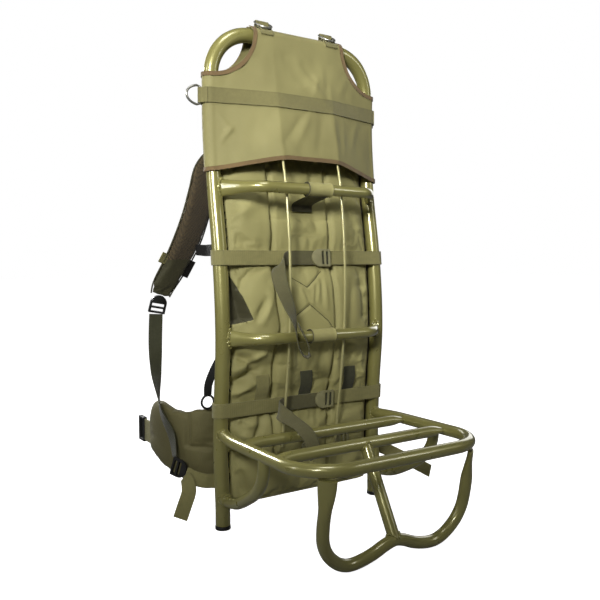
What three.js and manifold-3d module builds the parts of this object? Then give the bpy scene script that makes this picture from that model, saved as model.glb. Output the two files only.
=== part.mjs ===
// Pack frame: a welded tube load carrier with a fixed shelf, a cloth top cover and a padded harness.
// Millimetres. Seen from the load side +X is right, -Y is towards the viewer and +Z is up.

import * as THREE from 'three';
import { mergeVertices } from 'three/addons/utils/BufferGeometryUtils.js';
import Module from 'manifold-3d';

const wasm = await Module();
wasm.setup();

// Fits
const GAP = 0.3;
const WEBBING = 1.6;
const WEBBING_WIDTH = 25;
const SEAM = 0.4;

// Hoop: two uprights and a top run in one bent tube
const HALF_WIDTH = 162.5;
const HOOP_RADIUS = 12.5;
const HOOP_TOP = 833;
const HOOP_CORNER = 73;
const UPRIGHT_STEP = 58;
const CORNER_STEPS = 6;
const PIN_HOLE = { radius: 2.2, z: 28 };
const FOOT = { height: 6, radius: 13.2, edge: 1.2 };

// Side profile of the uprights, a long S: y of the tube's middle at each height
const UPRIGHT_PROFILE = [
  { z: 0, y: 8.6 },
  { z: 30, y: 8.8 },
  { z: 60, y: 10.5 },
  { z: 121, y: 15.5 },
  { z: 210, y: 12.5 },
  { z: 326, y: 4.8 },
  { z: 457, y: 14 },
  { z: 580, y: 33.4 },
  { z: 700, y: 44 },
  { z: 850, y: 39 },
];

// Rods in front of the uprights, bowed towards the load
const ROD = { radius: 2.3, x: 57, bottom: 128, top: 831, step: 50, sides: 6 };
const ROD_PROFILE = [
  { z: 120, y: -9 },
  { z: 158, y: -14 },
  { z: 240, y: -26 },
  { z: 322, y: -35 },
  { z: 395, y: -38 },
  { z: 475, y: -35 },
  { z: 571, y: -24.5 },
  { z: 625, y: -13 },
  { z: 700, y: 3 },
  { z: 780, y: 17.5 },
  { z: 833, y: 23.9 },
];

// Crossbars: straight runs whose ends bend back to the uprights and are pressed flat there
const BAR_RADIUS = 9.5;
const UPPER_BAR_Z = 571;
const MIDDLE_BAR_Z = 322;
const BAR_END = [
  { inset: 0, reach: 0, tall: 15.5, deep: 5.5 },
  { inset: 7, reach: 0.1, tall: 15, deep: 5.8 },
  { inset: 20, reach: 0.38, tall: 12, deep: 7.4 },
  { inset: 36, reach: 0.7, tall: 9.8, deep: 9.2 },
  { inset: 50, reach: 0.9, tall: 9.5, deep: 9.5 },
  { inset: 66, reach: 1, tall: 9.5, deep: 9.5 },
];
const LOWER_BAR = { z: 138, radius: 5 };
const SLEEVE = { half: 24, slack: 0.9, wall: 1.4 };

// Shelf: a U-shaped rail, two bars between its sides, two curved struts
const RAIL_RADIUS = 10;
const SHELF = { z: 159, slope: -0.0125, front: -268, half: 171.5, corner: 72 };
const RAIL_END = [
  { out: 0, y: 8 },
  { out: 1.5, y: -8 },
  { out: 5, y: -24 },
  { out: 8, y: -42 },
  { out: 9, y: -62 },
];
const SHELF_BARS = { rear_shelf_bar: -66, front_shelf_bar: -168 };
const BAR_TAPER = [
  { inset: 0, wide: 11.5, deep: 5 },
  { inset: 12, wide: 11, deep: 6 },
  { inset: 24, wide: 10, deep: 8.6 },
  { inset: 36, wide: 9.5, deep: 9.5 },
];
const STRUT = [
  { out: 0, y: 8, z: 51 },
  { out: 0, y: -20, z: 53 },
  { out: 1, y: -48, z: 60 },
  { out: 3, y: -84, z: 78 },
  { out: 5, y: -113, z: 96 },
  { out: 7, y: -132, z: 115 },
  { out: 8.5, y: -142, z: 135 },
  { out: 9, y: -145, z: 158 },
];
const COLLAR = { radius: 11, end: -11 };

// Stand: a W-shaped loop under the shelf's front, braced to the front shelf bar
const STAND = { y: -236, lean: -0.17 };
const STAND_HALF = [
  { x: 139, z: 150.5, wide: 14, deep: 4.5 },
  { x: 138.5, z: 138, wide: 13.6, deep: 5 },
  { x: 138, z: 122, wide: 12, deep: 7 },
  { x: 138, z: 106, wide: 9.8, deep: 9.2 },
  { x: 138, z: 78, wide: 9.5, deep: 9.5 },
  { x: 135, z: 56, wide: 9.5, deep: 9.5 },
  { x: 125, z: 36, wide: 9.5, deep: 9.5 },
  { x: 108, z: 19.5, wide: 9.5, deep: 9.5 },
  { x: 92, z: 11.5, wide: 9.5, deep: 9.5 },
  { x: 78, z: 9.5, wide: 9.5, deep: 9.5 },
  { x: 60, z: 11.5, wide: 9.5, deep: 9.5 },
  { x: 38, z: 17.5, wide: 9.5, deep: 9.5 },
  { x: 18, z: 26, wide: 9.5, deep: 9.5 },
  { x: 0, z: 30, wide: 9.5, deep: 9.5 },
];

// Top cover: a pocket pulled over the hoop, with round corner cut-outs and an arched hem
const COVER = { inner: 0.8, outer: 2.6, floor: 585, step: 30, side_steps: 8 };
const COVER_CAPS = [0, 30, 60, 80];
const CUTOUT = { x: 170, z: 838, radius: 77 };
const BINDING = { width: 9, wall: 0.9 };
const HEM = [
  { x: 0, z: 621.5 },
  { x: 57, z: 620.5 },
  { x: 110, z: 611 },
  { x: 162, z: 600.5 },
  { x: 200, z: 596 },
];
const HEM_STEP = 40;
const COVER_STRAP_Z = 723;

// D-rings and the webbing keepers that hold their bars
const RING = { wire: 2, half: 16, reach: 24, sides: 6, bend: [72, 44, 15, -15, -44, -72] };
const RING_SWING = { left_side: 0, right_side: 53, top: 32 };
const TOP_RING = { x: 67, rise: 10, neck: 3.4, neck_drop: 7 };
const KEEPER_TURNS = [-70, -35, 0, 35, 70];
const SIDE_KEEPER_FEET = [45, 22.5];
const TOP_KEEPER_FEET = [2, 30, 60];

// Straps round the uprights, with ladder locks and hanging tails
const WRAP_Z = { upper: 455, lower: 201 };
const LOCK_X = { upper: 28, lower: 35 };
const LOCK = { length: 38, height: 31, thickness: 4, bar: 4, slot: 4.5 };
const WRAP_TURNS = [58, 90, 120, 150, 180, 210, 240, 270];
const UPPER_TAIL = [
  { x: 24, y: 0, z: 455, ax: 0, ay: 0.113, az: 1 },
  { x: -30, y: -1, z: 455, ax: 0, ay: 0.113, az: 1 },
  { x: -48, y: -6, z: 453, ax: 0.25, ay: -0.1, az: 0.95 },
  { x: -64, y: -13, z: 444, ax: 0.6, ay: -0.3, az: 0.75 },
  { x: -75, y: -27, z: 426, ax: 0.85, ay: -0.25, az: 0.4 },
  { x: -76, y: -44, z: 400, ax: 0.95, ay: -0.1, az: 0.25 },
  { x: -66, y: -56, z: 366, ax: 0.95, ay: 0, az: 0.25 },
  { x: -52, y: -62, z: 330, ax: 0.95, ay: 0, az: 0.3 },
  { x: -38, y: -63, z: 296, ax: 0.93, ay: 0, az: 0.36 },
];
const LOWER_TAIL = [
  { x: 31, y: 0, z: 201, ax: 0, ay: -0.052, az: 1 },
  { x: -30, y: -0.5, z: 201, ax: 0, ay: -0.052, az: 1 },
  { x: -52, y: -4, z: 200, ax: 0, ay: 0, az: 1 },
  { x: -66, y: -12, z: 198, ax: 0.1, ay: 0, az: 1 },
  { x: -74, y: -28, z: 195, ax: 0.4, ay: 0, az: 0.9 },
  { x: -75, y: -48, z: 191, ax: 0.75, ay: 0, az: 0.65 },
  { x: -72, y: -66, z: 186, ax: 0.95, ay: 0, az: 0.3 },
  { x: -66, y: -86, z: 177, ax: 0.98, ay: 0, az: 0.2 },
  { x: -58, y: -98, z: 161, ax: 0.96, ay: 0, az: 0.27 },
  { x: -50, y: -102, z: 130, ax: 0.95, ay: 0, az: 0.3 },
];
const PANEL_LOOPS = { left_panel_loop: -92, middle_panel_loop: -4, right_panel_loop: 92 };
const LOOP_SHAPE = [
  { z: 256, off: 1.2 },
  { z: 247, off: 3.2 },
  { z: 234, off: 5.2 },
  { z: 224, off: 3.6 },
  { z: 217, off: 1.4 },
  { z: 207, off: 1.2 },
];
const PANEL_BUCKLES = { middle_panel_buckle: { x: 6, z: 117 }, right_panel_buckle: { x: 80, z: 121 } };
const PANEL_BUCKLE = { length: 30, height: 27, thickness: 3.5 };
const SLEEVE_TAB = { x: -2, width: 42, drop: 27, back: 4 };

// Back panel between the uprights, pinched by the wrap straps, and the wearer's pad behind it
const PANEL = { half: 146, edge_front: 5, edge_back: 11.5 };
const PANEL_ROWS = [
  { z: 34, crown: 1, half: 140 },
  { z: 46, crown: 7, half: 145 },
  { z: 90, crown: 15, half: 146 },
  { z: 145, crown: 17, half: 146 },
  { z: 188, crown: 15.5, half: 146 },
  { z: 214, crown: 15.5, half: 146 },
  { z: 262, crown: 19, half: 146 },
  { z: 330, crown: 20, half: 146 },
  { z: 400, crown: 18, half: 146 },
  { z: 442, crown: 15.5, half: 146 },
  { z: 468, crown: 15.5, half: 146 },
  { z: 530, crown: 16, half: 146 },
  { z: 590, crown: 14, half: 146 },
  { z: 628, crown: 9, half: 145 },
  { z: 644, crown: 2, half: 138 },
];
const PAD = { half: 156, front: 17, back: 40, bulge: 7 };
const PAD_ROWS = [
  { z: 40, share: 0.35 },
  { z: 52, share: 0.85 },
  { z: 90, share: 1 },
  { z: 180, share: 1 },
  { z: 290, share: 1 },
  { z: 400, share: 1 },
  { z: 510, share: 1 },
  { z: 590, share: 1 },
  { z: 622, share: 0.85 },
  { z: 638, share: 0.35 },
];
const CROWN_STEPS = 8;

// Hip belt in plan, from the middle of the back to a wing's tip
const BELT_ROWS = [
  { x: 0, y: 64.8, low: 56, high: 186, thick: 22 },
  { x: 70, y: 64.8, low: 55, high: 187, thick: 22 },
  { x: 125, y: 68.5, low: 54, high: 192, thick: 22 },
  { x: 162, y: 82, low: 54, high: 196, thick: 22 },
  { x: 183, y: 108, low: 57, high: 188, thick: 21 },
  { x: 195, y: 142, low: 66, high: 192, thick: 21 },
  { x: 201, y: 178, low: 78, high: 195, thick: 21 },
  { x: 203, y: 206, low: 90, high: 184, thick: 19 },
  { x: 203, y: 222, low: 98, high: 152, thick: 12 },
  { x: 203, y: 227, low: 101, high: 145, thick: 3 },
  { x: 203, y: 258, low: 101, high: 145, thick: 3 },
];
const BELT_BUCKLE = { height: 48, length: 26, thick: 8, wall: 5 };
const BELT_RING = { x: 163, y: 63, z: 206, radius: 11.5, wire: 2 };
const BELT_RING_STRAP = [
  { x: 163, y: 63, z: 217, ax: 1, ay: 0, az: 0 },
  { x: 164, y: 58, z: 236, ax: 0.9, ay: 0.4, az: 0.1 },
  { x: 161.5, y: 46, z: 260, ax: 0.5, ay: 0.75, az: 0.4 },
  { x: 157.2, y: 33, z: 284, ax: 0, ay: 0.88, az: 0.47 },
];
const BELT_RING_STRAP_WIDTH = 14;

// Shoulder strap: middle line, the direction of its width, and its section
const SHOULDER_ROWS = [
  { x: 64, y: 76.2, z: 566, ax: 1, ay: 0, az: 0, width: 52, thick: 8 },
  { x: 68, y: 85, z: 606, ax: 1, ay: 0, az: 0.1, width: 60, thick: 11 },
  { x: 77, y: 112, z: 638, ax: 0.97, ay: -0.2, az: 0.15, width: 64, thick: 13 },
  { x: 95, y: 136, z: 640, ax: 0.9, ay: -0.35, az: 0.25, width: 66, thick: 13 },
  { x: 115, y: 153, z: 615, ax: 0.88, ay: -0.38, az: 0.28, width: 67, thick: 13 },
  { x: 124, y: 163, z: 574, ax: 0.9, ay: -0.38, az: 0.2, width: 67, thick: 13 },
  { x: 134, y: 170, z: 530, ax: 0.92, ay: -0.36, az: 0.15, width: 67, thick: 13 },
  { x: 148, y: 177, z: 486, ax: 0.92, ay: -0.34, az: 0.2, width: 66, thick: 13 },
  { x: 167, y: 187, z: 442, ax: 0.9, ay: -0.34, az: 0.28, width: 60, thick: 12 },
  { x: 185, y: 200, z: 404, ax: 0.95, ay: -0.12, az: 0.26, width: 46, thick: 10 },
  { x: 190, y: 206, z: 386, ax: 0.96, ay: 0.1, az: 0.15, width: 36, thick: 7 },
];
// Pieces sewn to the strap's edges, as shares of its width from its middle line
const STRAP_FITTINGS = [
  { row: 8, from: 0.4, to: 0.68, width: 20, thick: 1.6 },
  { row: 8, from: -0.36, to: -0.66, width: 34, thick: 5 },
];
const SHOULDER_LOCK = { drop: 17, height: 34, width: 31, thick: 6 };

// Webbing of one side of the harness
const SIDE_WEBBING = [
  { x: 196, y: 214, z: 350.2, ax: 0.95, ay: 0.2, az: 0 },
  { x: 199, y: 211, z: 300, ax: 0.95, ay: 0.3, az: 0 },
  { x: 204, y: 197, z: 250, ax: 0.95, ay: -0.3, az: 0 },
  { x: 211, y: 173, z: 213, ax: 0.6, ay: -0.8, az: 0.1 },
  { x: 214.5, y: 147, z: 178, ax: 0.2, ay: -0.9, az: 0.4 },
  { x: 207, y: 119, z: 142, ax: -0.05, ay: -0.78, az: 0.62 },
  { x: 207, y: 105.3, z: 106.4, ax: 0.1, ay: -0.76, az: 0.64 },
];
const ANCHOR_STRAP = [
  { x: 157.2, y: 34, z: 70, ax: 0, ay: 0.1, az: 1 },
  { x: 159, y: 45, z: 71, ax: 0, ay: 0, az: 1 },
  { x: 174, y: 51, z: 72, ax: 0, ay: 0, az: 1 },
  { x: 188, y: 61, z: 76, ax: 0.1, ay: 0.2, az: 0.97 },
  { x: 199, y: 77, z: 82, ax: 0.1, ay: 0.35, az: 0.93 },
];
const ANCHOR_LOCK = { x: 205, y: 90, z: 89, length: 30, height: 32, thick: 6 };
const LEFT_TAIL = [
  { x: 203.4, y: 73.9, z: 79, ax: 0.3, ay: 0.75, az: -0.5 },
  { x: 201, y: 65, z: 71, ax: 0.6, ay: 0.7, az: 0 },
  { x: 201, y: 60, z: 56, ax: 0.787, ay: 0.514, az: 0.34 },
  { x: 208, y: 60, z: 36, ax: 0.787, ay: 0.514, az: 0.34 },
  { x: 216, y: 64, z: 10, ax: 0.787, ay: 0.514, az: 0.34 },
];
const RIGHT_TAIL = [
  { x: 203.9, y: 73.4, z: 78.6, ax: 0.05, ay: 0.3, az: 0.95 },
  { x: 214, y: 45, z: 74, ax: 0.05, ay: 0.2, az: 0.97 },
  { x: 226, y: 5, z: 65, ax: 0, ay: 0.1, az: 1 },
  { x: 240, y: -66, z: 50, ax: 0, ay: 0, az: 1 },
];
const LIFTER = [
  { x: 157.2, y: 36, z: 468, ax: 0, ay: 0, az: 1 },
  { x: 156.6, y: 60, z: 468, ax: 0, ay: 0, az: 1 },
  { x: 148, y: 100, z: 468, ax: 0, ay: 0, az: 1 },
  { x: 138, y: 140, z: 469, ax: 0, ay: 0, az: 1 },
  { x: 129.5, y: 177.6, z: 470, ax: 0, ay: 0.2, az: 1 },
];
const LIFTER_WIDTH = 20;

const TUBE_SIDES = 10;
const PAD_SIDES = 10;

// Finishes
const FINISH = {
  paint: { color: 0x6f6d33, roughness: 0.35, metalness: 0.2 },
  bare_rod: { color: 0x9c986a, roughness: 0.35, metalness: 0.2 },
  nickel: { color: 0x9a9a94, roughness: 0.3, metalness: 0.9 },
  cloth: { color: 0x8b8553, roughness: 0.85, metalness: 0 },
  tape: { color: 0x8c6f46, roughness: 0.9, metalness: 0 },
  webbing: { color: 0x6d6a44, roughness: 0.9, metalness: 0 },
  buckle: { color: 0x8d8a70, roughness: 0.5, metalness: 0 },
  mesh: { color: 0x2a251c, roughness: 0.95, metalness: 0 },
  black: { color: 0x171715, roughness: 0.5, metalness: 0 },
};

const radians = THREE.MathUtils.degToRad;
const point = (x, y, z) => new THREE.Vector3(x, y, z);
const mirrored = (points) => points.map((p) => point(-p.x, p.y, p.z));

// Value of a table's column at a place along another column, on a smooth curve through the rows
function column(table, key, along, at) {
  const last = table.length - 1;
  let row = 0;
  while (row < last - 1 && at > table[row + 1][along]) row += 1;
  const slope = (k) => {
    const before = table[Math.max(k - 1, 0)];
    const after = table[Math.min(k + 1, last)];
    return (after[key] - before[key]) / (after[along] - before[along]);
  };
  const span = table[row + 1][along] - table[row][along];
  const t = (at - table[row][along]) / span;
  const start = table[row][key] * (1 + 2 * t) * (1 - t) ** 2;
  const end = table[row + 1][key] * (3 - 2 * t) * t ** 2;
  const leave = span * slope(row) * t * (1 - t) ** 2;
  const arrive = span * slope(row + 1) * t ** 2 * (t - 1);
  return start + end + leave + arrive;
}

const uprightY = (z) => column(UPRIGHT_PROFILE, 'y', 'z', z);
const rodY = (z) => column(ROD_PROFILE, 'y', 'z', z);
const shelfZ = (y) => SHELF.z + SHELF.slope * y;
const standY = (z) => STAND.y + STAND.lean * z;

// Direction of an upright at a height
function uprightDirection(z) {
  return point(0, uprightY(z + 1) - uprightY(z - 1), 2).normalize();
}

// A path that passes through its stations in equal steps
class StationPath extends THREE.Curve {
  constructor(stations) {
    super();
    this.stations = stations;
    this.spans = stations.length - 1;
  }

  getPoint(t, target = new THREE.Vector3()) {
    const place = THREE.MathUtils.clamp(t, 0, 1) * this.spans;
    const index = Math.min(Math.floor(place), this.spans - 1);
    return target.lerpVectors(this.stations[index], this.stations[index + 1], place - index);
  }

  getPointAt(t, target) {
    return this.getPoint(t, target);
  }

  getTangentAt(t, target = new THREE.Vector3()) {
    const half = 0.5 / this.spans;
    return target.subVectors(this.getPoint(t + half), this.getPoint(t - half)).normalize();
  }
}

// One closed skin with shared vertices and its faces pointing out
function closed(geometry) {
  geometry.deleteAttribute('normal');
  geometry.deleteAttribute('uv');
  const skin = mergeVertices(geometry, 1e-3);
  const places = skin.attributes.position;
  const corners = [...skin.index.array];
  const kept = [];
  let volume = 0;
  for (let i = 0; i < corners.length; i += 3) {
    const [a, b, c] = corners.slice(i, i + 3);
    if (a === b || b === c || c === a) continue;
    kept.push(a, b, c);
    const [p, q, r] = [a, b, c].map((k) => point(0, 0, 0).fromBufferAttribute(places, k));
    volume += p.dot(q.cross(r));
  }
  skin.setIndex(volume < 0 ? kept.reverse() : kept);
  return skin;
}

// A round tube through stations
function tube(stations, radius, sides = TUBE_SIDES) {
  const circle = new THREE.Shape();
  circle.absarc(0, 0, radius, 0, 2 * Math.PI);
  const extrudePath = new StationPath(stations);
  const curveSegments = sides / 2;
  const steps = stations.length - 1;
  return closed(new THREE.ExtrudeGeometry(circle, { steps, curveSegments, extrudePath }));
}

// A flat shape pulled along +Y from a start
function slab(shape, start, length) {
  const geometry = new THREE.ExtrudeGeometry(shape, { depth: length, bevelEnabled: false });
  geometry.rotateX(Math.PI / 2);
  geometry.translate(0, start + length, 0);
  return closed(geometry);
}

// A closed skin through rings of equal length; an endless one joins its last ring to its first,
// and a thin one splits its two faces alike, so that a twist keeps its thickness
function loft(rings, { endless = false, thin = false } = {}) {
  const size = rings[0].length;
  const corners = rings.flat();
  const triangles = [];
  const spans = endless ? rings.length : rings.length - 1;
  for (let i = 0; i < spans; i += 1) {
    const near = i * size;
    const far = ((i + 1) % rings.length) * size;
    for (let j = 0; j < size; j += 1) {
      const [a, b] = [near + j, near + ((j + 1) % size)];
      const [c, d] = [far + ((j + 1) % size), far + j];
      const shorter = corners[a].distanceTo(corners[c]) <= corners[b].distanceTo(corners[d]);
      const direct = thin ? j < size / 2 : shorter;
      triangles.push(...(direct ? [a, b, c, a, c, d] : [a, b, d, b, c, d]));
    }
  }
  const ends = endless ? [] : [0, rings.length - 1];
  for (const end of ends) {
    const hub = corners.length;
    const sum = rings[end].reduce((total, corner) => total.add(corner), point(0, 0, 0));
    corners.push(sum.divideScalar(size));
    for (let j = 0; j < size; j += 1) {
      const edge = [end * size + j, end * size + ((j + 1) % size)];
      triangles.push(hub, ...(end === 0 ? edge.reverse() : edge));
    }
  }
  const geometry = new THREE.BufferGeometry();
  geometry.setAttribute('position', new THREE.Float32BufferAttribute(corners.flatMap((c) => c.toArray()), 3));
  geometry.setIndex(triangles);
  return closed(geometry);
}

// Directions at a station of a path: along it, across it and square to both
function directions(stations, index, across, endless = false) {
  const count = stations.length;
  const before = endless ? stations[(index + count - 1) % count] : stations[Math.max(index - 1, 0)];
  const after = endless ? stations[(index + 1) % count] : stations[Math.min(index + 1, count - 1)];
  const along = point(0, 0, 0).subVectors(after, before).normalize();
  const side = across.clone().addScaledVector(along, -across.dot(along)).normalize();
  return { side, square: point(0, 0, 0).crossVectors(along, side) };
}

// A round or flattened section about a station
function roundRing(middle, side, square, wide, deep, sides) {
  return Array.from({ length: sides }, (_, k) => {
    const turn = (2 * Math.PI * k) / sides;
    return middle.clone().addScaledVector(side, wide * Math.cos(turn)).addScaledVector(square, deep * Math.sin(turn));
  });
}

// A flat strap through stations, with the direction of its width at each
function ribbon(stations, acrosses, width, thickness = WEBBING) {
  const rings = stations.map((middle, i) => {
    const { side, square } = directions(stations, i, acrosses[i]);
    return [[1, 1], [-1, 1], [-1, -1], [1, -1]].map(([a, b]) => middle.clone()
      .addScaledVector(side, (a * width) / 2)
      .addScaledVector(square, (b * thickness) / 2));
  });
  return loft(rings, { thin: true });
}

// A strap from a table whose rows give a place and the direction of the strap's width
function tableRibbon(rows, hand, width = WEBBING_WIDTH, lift = 0) {
  const stations = rows.map((row) => point(hand * row.x, row.y + lift, row.z));
  const acrosses = rows.map((row) => point(hand * row.ax, row.ay, row.az));
  return ribbon(stations, acrosses, width);
}

// Booleans
function solid(geometry) {
  const vertProperties = new Float32Array(geometry.attributes.position.array);
  const triVerts = new Uint32Array(geometry.index.array);
  return new wasm.Manifold(new wasm.Mesh({ numProp: 3, vertProperties, triVerts }));
}

function skinOf(body) {
  const largest = body.decompose().sort((a, b) => b.volume() - a.volume())[0];
  const { vertProperties, triVerts } = largest.getMesh();
  const geometry = new THREE.BufferGeometry();
  geometry.setAttribute('position', new THREE.Float32BufferAttribute(vertProperties, 3));
  geometry.setIndex([...triVerts]);
  return closed(geometry);
}

const cut = (geometry, ...tools) => skinOf(tools.reduce((body, tool) => body.subtract(solid(tool)), solid(geometry)));

// The assembly
const frame = new THREE.Group();
frame.name = 'pack_frame';

function add(name, geometry, finish) {
  geometry.computeVertexNormals();
  const mesh = new THREE.Mesh(geometry, new THREE.MeshStandardMaterial(FINISH[finish]));
  mesh.name = name;
  frame.add(mesh);
}

// Hoop and feet
function hoopStations() {
  const left = [];
  for (let z = FOOT.height + 2 * GAP; z < HOOP_TOP - HOOP_CORNER - UPRIGHT_STEP / 2; z += UPRIGHT_STEP) {
    left.push(point(-HALF_WIDTH, uprightY(z), z));
  }
  for (let i = 0; i <= CORNER_STEPS; i += 1) {
    const turn = (i / CORNER_STEPS) * (Math.PI / 2);
    const z = HOOP_TOP - HOOP_CORNER * (1 - Math.sin(turn));
    left.push(point(-HALF_WIDTH + HOOP_CORNER * (1 - Math.cos(turn)), uprightY(z), z));
  }
  return [...left, ...mirrored(left).reverse()];
}

const hoopPath = hoopStations();
const hoopClearance = tube(hoopPath, HOOP_RADIUS + GAP);
const pinHole = new THREE.CylinderGeometry(PIN_HOLE.radius, PIN_HOLE.radius, 3 * HALF_WIDTH, 8);
pinHole.rotateZ(Math.PI / 2);
pinHole.translate(0, uprightY(PIN_HOLE.z), PIN_HOLE.z);
add('main_hoop', cut(tube(hoopPath, HOOP_RADIUS), closed(pinHole)), 'paint');

function footCap(hand) {
  const profile = [
    [0, 0],
    [FOOT.radius - FOOT.edge, 0],
    [FOOT.radius, FOOT.edge],
    [FOOT.radius, FOOT.height],
    [0, FOOT.height],
  ].map(([r, z]) => new THREE.Vector2(r, z));
  const cap = new THREE.LatheGeometry(profile, 16);
  cap.rotateX(Math.PI / 2);
  cap.translate(hand * HALF_WIDTH, uprightY(0), 0);
  return closed(cap);
}

// Crossbars, coped to the uprights, with the rods welded behind them
const barY = (z) => rodY(z) - ROD.radius - GAP - BAR_RADIUS;

function crossbarStations(z, y) {
  const reach = y - uprightY(z);
  const left = BAR_END.map((row) => point(row.inset - HALF_WIDTH, uprightY(z) + reach * row.reach, z));
  return [...left, ...mirrored(left).reverse()];
}

// A bar in front of the rods with its ends pressed flat
function crossbar(z) {
  const stations = crossbarStations(z, barY(z));
  const rows = [...BAR_END, ...BAR_END.toReversed()];
  return loft(stations.map((middle, i) => {
    const { side, square } = directions(stations, i, point(0, 0, 1));
    return roundRing(middle, side, square, rows[i].tall, rows[i].deep, TUBE_SIDES);
  }));
}

function sleeve(z) {
  const inner = BAR_RADIUS + SLEEVE.slack;
  const outer = inner + SLEEVE.wall;
  const profile = [
    [inner, -SLEEVE.half],
    [outer, -SLEEVE.half],
    [outer, SLEEVE.half],
    [inner, SLEEVE.half],
    [inner, -SLEEVE.half],
  ].map(([r, x]) => new THREE.Vector2(r, x));
  const ring = new THREE.LatheGeometry(profile, 12);
  ring.rotateZ(Math.PI / 2);
  ring.translate(0, barY(z), z);
  return closed(ring);
}

for (const [name, z] of [['upper', UPPER_BAR_Z], ['middle', MIDDLE_BAR_Z]]) {
  add(`${name}_crossbar`, cut(crossbar(z), hoopClearance), 'paint');
}

const lowerBarY = rodY(LOWER_BAR.z) + ROD.radius + GAP + LOWER_BAR.radius;
const lowerBar = tube(crossbarStations(LOWER_BAR.z, lowerBarY), LOWER_BAR.radius, 8);
add('lower_crossbar', cut(lowerBar, hoopClearance), 'paint');

function rod(hand) {
  const count = Math.round((ROD.top - ROD.bottom) / ROD.step);
  const stations = Array.from({ length: count + 1 }, (_, i) => {
    const z = ROD.bottom + ((ROD.top - ROD.bottom) * i) / count;
    return point(hand * ROD.x, rodY(z), z);
  });
  return tube(stations, ROD.radius, ROD.sides);
}

// Shelf
function railStations() {
  const left = RAIL_END.map((row) => point(-HALF_WIDTH - row.out, row.y, shelfZ(row.y)));
  for (let i = 0; i <= CORNER_STEPS; i += 1) {
    const turn = (i / CORNER_STEPS) * (Math.PI / 2);
    const y = SHELF.front + SHELF.corner * (1 - Math.sin(turn));
    left.push(point(-SHELF.half + SHELF.corner * (1 - Math.cos(turn)), y, shelfZ(y)));
  }
  return [...left, ...mirrored(left).reverse()];
}

const railPath = railStations();
const railClearance = tube(railPath, RAIL_RADIUS + GAP);
add('shelf_rail', cut(tube(railPath, RAIL_RADIUS), hoopClearance), 'paint');

function shelfBar(y) {
  const left = BAR_TAPER.map((row) => ({ ...row, x: row.inset - SHELF.half }));
  const rows = [...left, ...left.map((row) => ({ ...row, x: -row.x })).reverse()];
  const stations = rows.map((row) => point(row.x, y, shelfZ(y)));
  const rings = stations.map((middle, i) => {
    const { side, square } = directions(stations, i, point(0, 1, 0));
    return roundRing(middle, side, square, rows[i].wide, rows[i].deep, TUBE_SIDES);
  });
  return cut(loft(rings), railClearance);
}

for (const [name, y] of Object.entries(SHELF_BARS)) add(name, shelfBar(y), 'paint');

function strut(hand) {
  const stations = STRUT.map((row) => point(hand * (HALF_WIDTH + row.out), row.y, row.z));
  const collarEnd = point(hand * HALF_WIDTH, COLLAR.end, STRUT[1].z);
  const bar = solid(tube(stations, BAR_RADIUS));
  const whole = bar.add(solid(tube([stations[0], collarEnd], COLLAR.radius)));
  return cut(skinOf(whole), hoopClearance, railClearance);
}

// Stand
function standRows() {
  const right = STAND_HALF.map((row) => ({ ...row, turn: row.x === 0 ? 0 : -Math.SQRT1_2 }));
  const left = right.slice(0, -1).map((row) => ({ ...row, x: -row.x, turn: -row.turn }));
  return [...left, ...right.reverse()];
}

function standLoop() {
  const rows = standRows();
  const stations = rows.map((row) => point(row.x, standY(row.z), row.z));
  const rings = stations.map((middle, i) => {
    const across = point(rows[i].turn, -Math.SQRT1_2, 0);
    const { side, square } = directions(stations, i, across);
    return roundRing(middle, side, square, rows[i].wide, rows[i].deep, TUBE_SIDES);
  });
  return cut(loft(rings), railClearance);
}

function standBrace() {
  const low = STAND_HALF.at(-1);
  const from = point(0, SHELF_BARS.front_shelf_bar, shelfZ(SHELF_BARS.front_shelf_bar));
  const to = point(0, standY(low.z), low.z);
  const clear = BAR_RADIUS + 3 * GAP;
  const barClear = tube([point(-40, from.y, from.z), point(40, from.y, from.z)], clear);
  const arch = standRows().filter((row) => Math.abs(row.x) < 70).map((row) => point(row.x, standY(row.z), row.z));
  return cut(tube([from, to], BAR_RADIUS), barClear, tube(arch, clear));
}

add('stand_loop', standLoop(), 'paint');
add('stand_brace', standBrace(), 'paint');

// Top cover
const coverRadius = (offset) => HOOP_RADIUS + offset;

function coverRing(z, offset) {
  const radius = coverRadius(offset);
  const crease = rodY(z) - ROD.radius - offset;
  const left = [];
  for (let i = 0; i <= COVER.side_steps; i += 1) {
    const turn = Math.PI * (0.5 + i / COVER.side_steps);
    left.push(point(-HALF_WIDTH + radius * Math.cos(turn), uprightY(z) + radius * Math.sin(turn), z));
  }
  left.push(point(-ROD.x, crease, z));
  return [...left, ...mirrored(left).reverse()];
}

// The cover closes over the hoop's top run: its ring narrows to the tube's crown
function coverCap(turn, offset) {
  const middle = uprightY(HOOP_TOP);
  const rise = coverRadius(offset) * Math.sin(radians(turn));
  return coverRing(HOOP_TOP, offset).map((p) => point(p.x, middle + (p.y - middle) * Math.cos(radians(turn)), p.z + rise));
}

function coverBody(offset, skirt = 0) {
  const rings = skirt > 0 ? [coverRing(COVER.floor - skirt, offset)] : [];
  for (let z = COVER.floor; z < HOOP_TOP - COVER.step / 2; z += COVER.step) rings.push(coverRing(z, offset));
  return loft([...rings, ...COVER_CAPS.map((turn) => coverCap(turn, offset))]);
}

const hemZ = (x) => column(HEM, 'z', 'x', Math.abs(x));

// The cloth's outline between a lower and an upper distance from the hem
function hemBand(low, high) {
  const end = HEM.at(-1).x;
  const places = [];
  for (let x = -end; x <= end; x += HEM_STEP) places.push(x);
  const outline = places.map((x) => new THREE.Vector2(x, hemZ(x) + high));
  outline.push(...places.reverse().map((x) => new THREE.Vector2(x, hemZ(x) + low)));
  return slab(new THREE.Shape(outline), -HALF_WIDTH, 2 * HALF_WIDTH);
}

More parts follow.
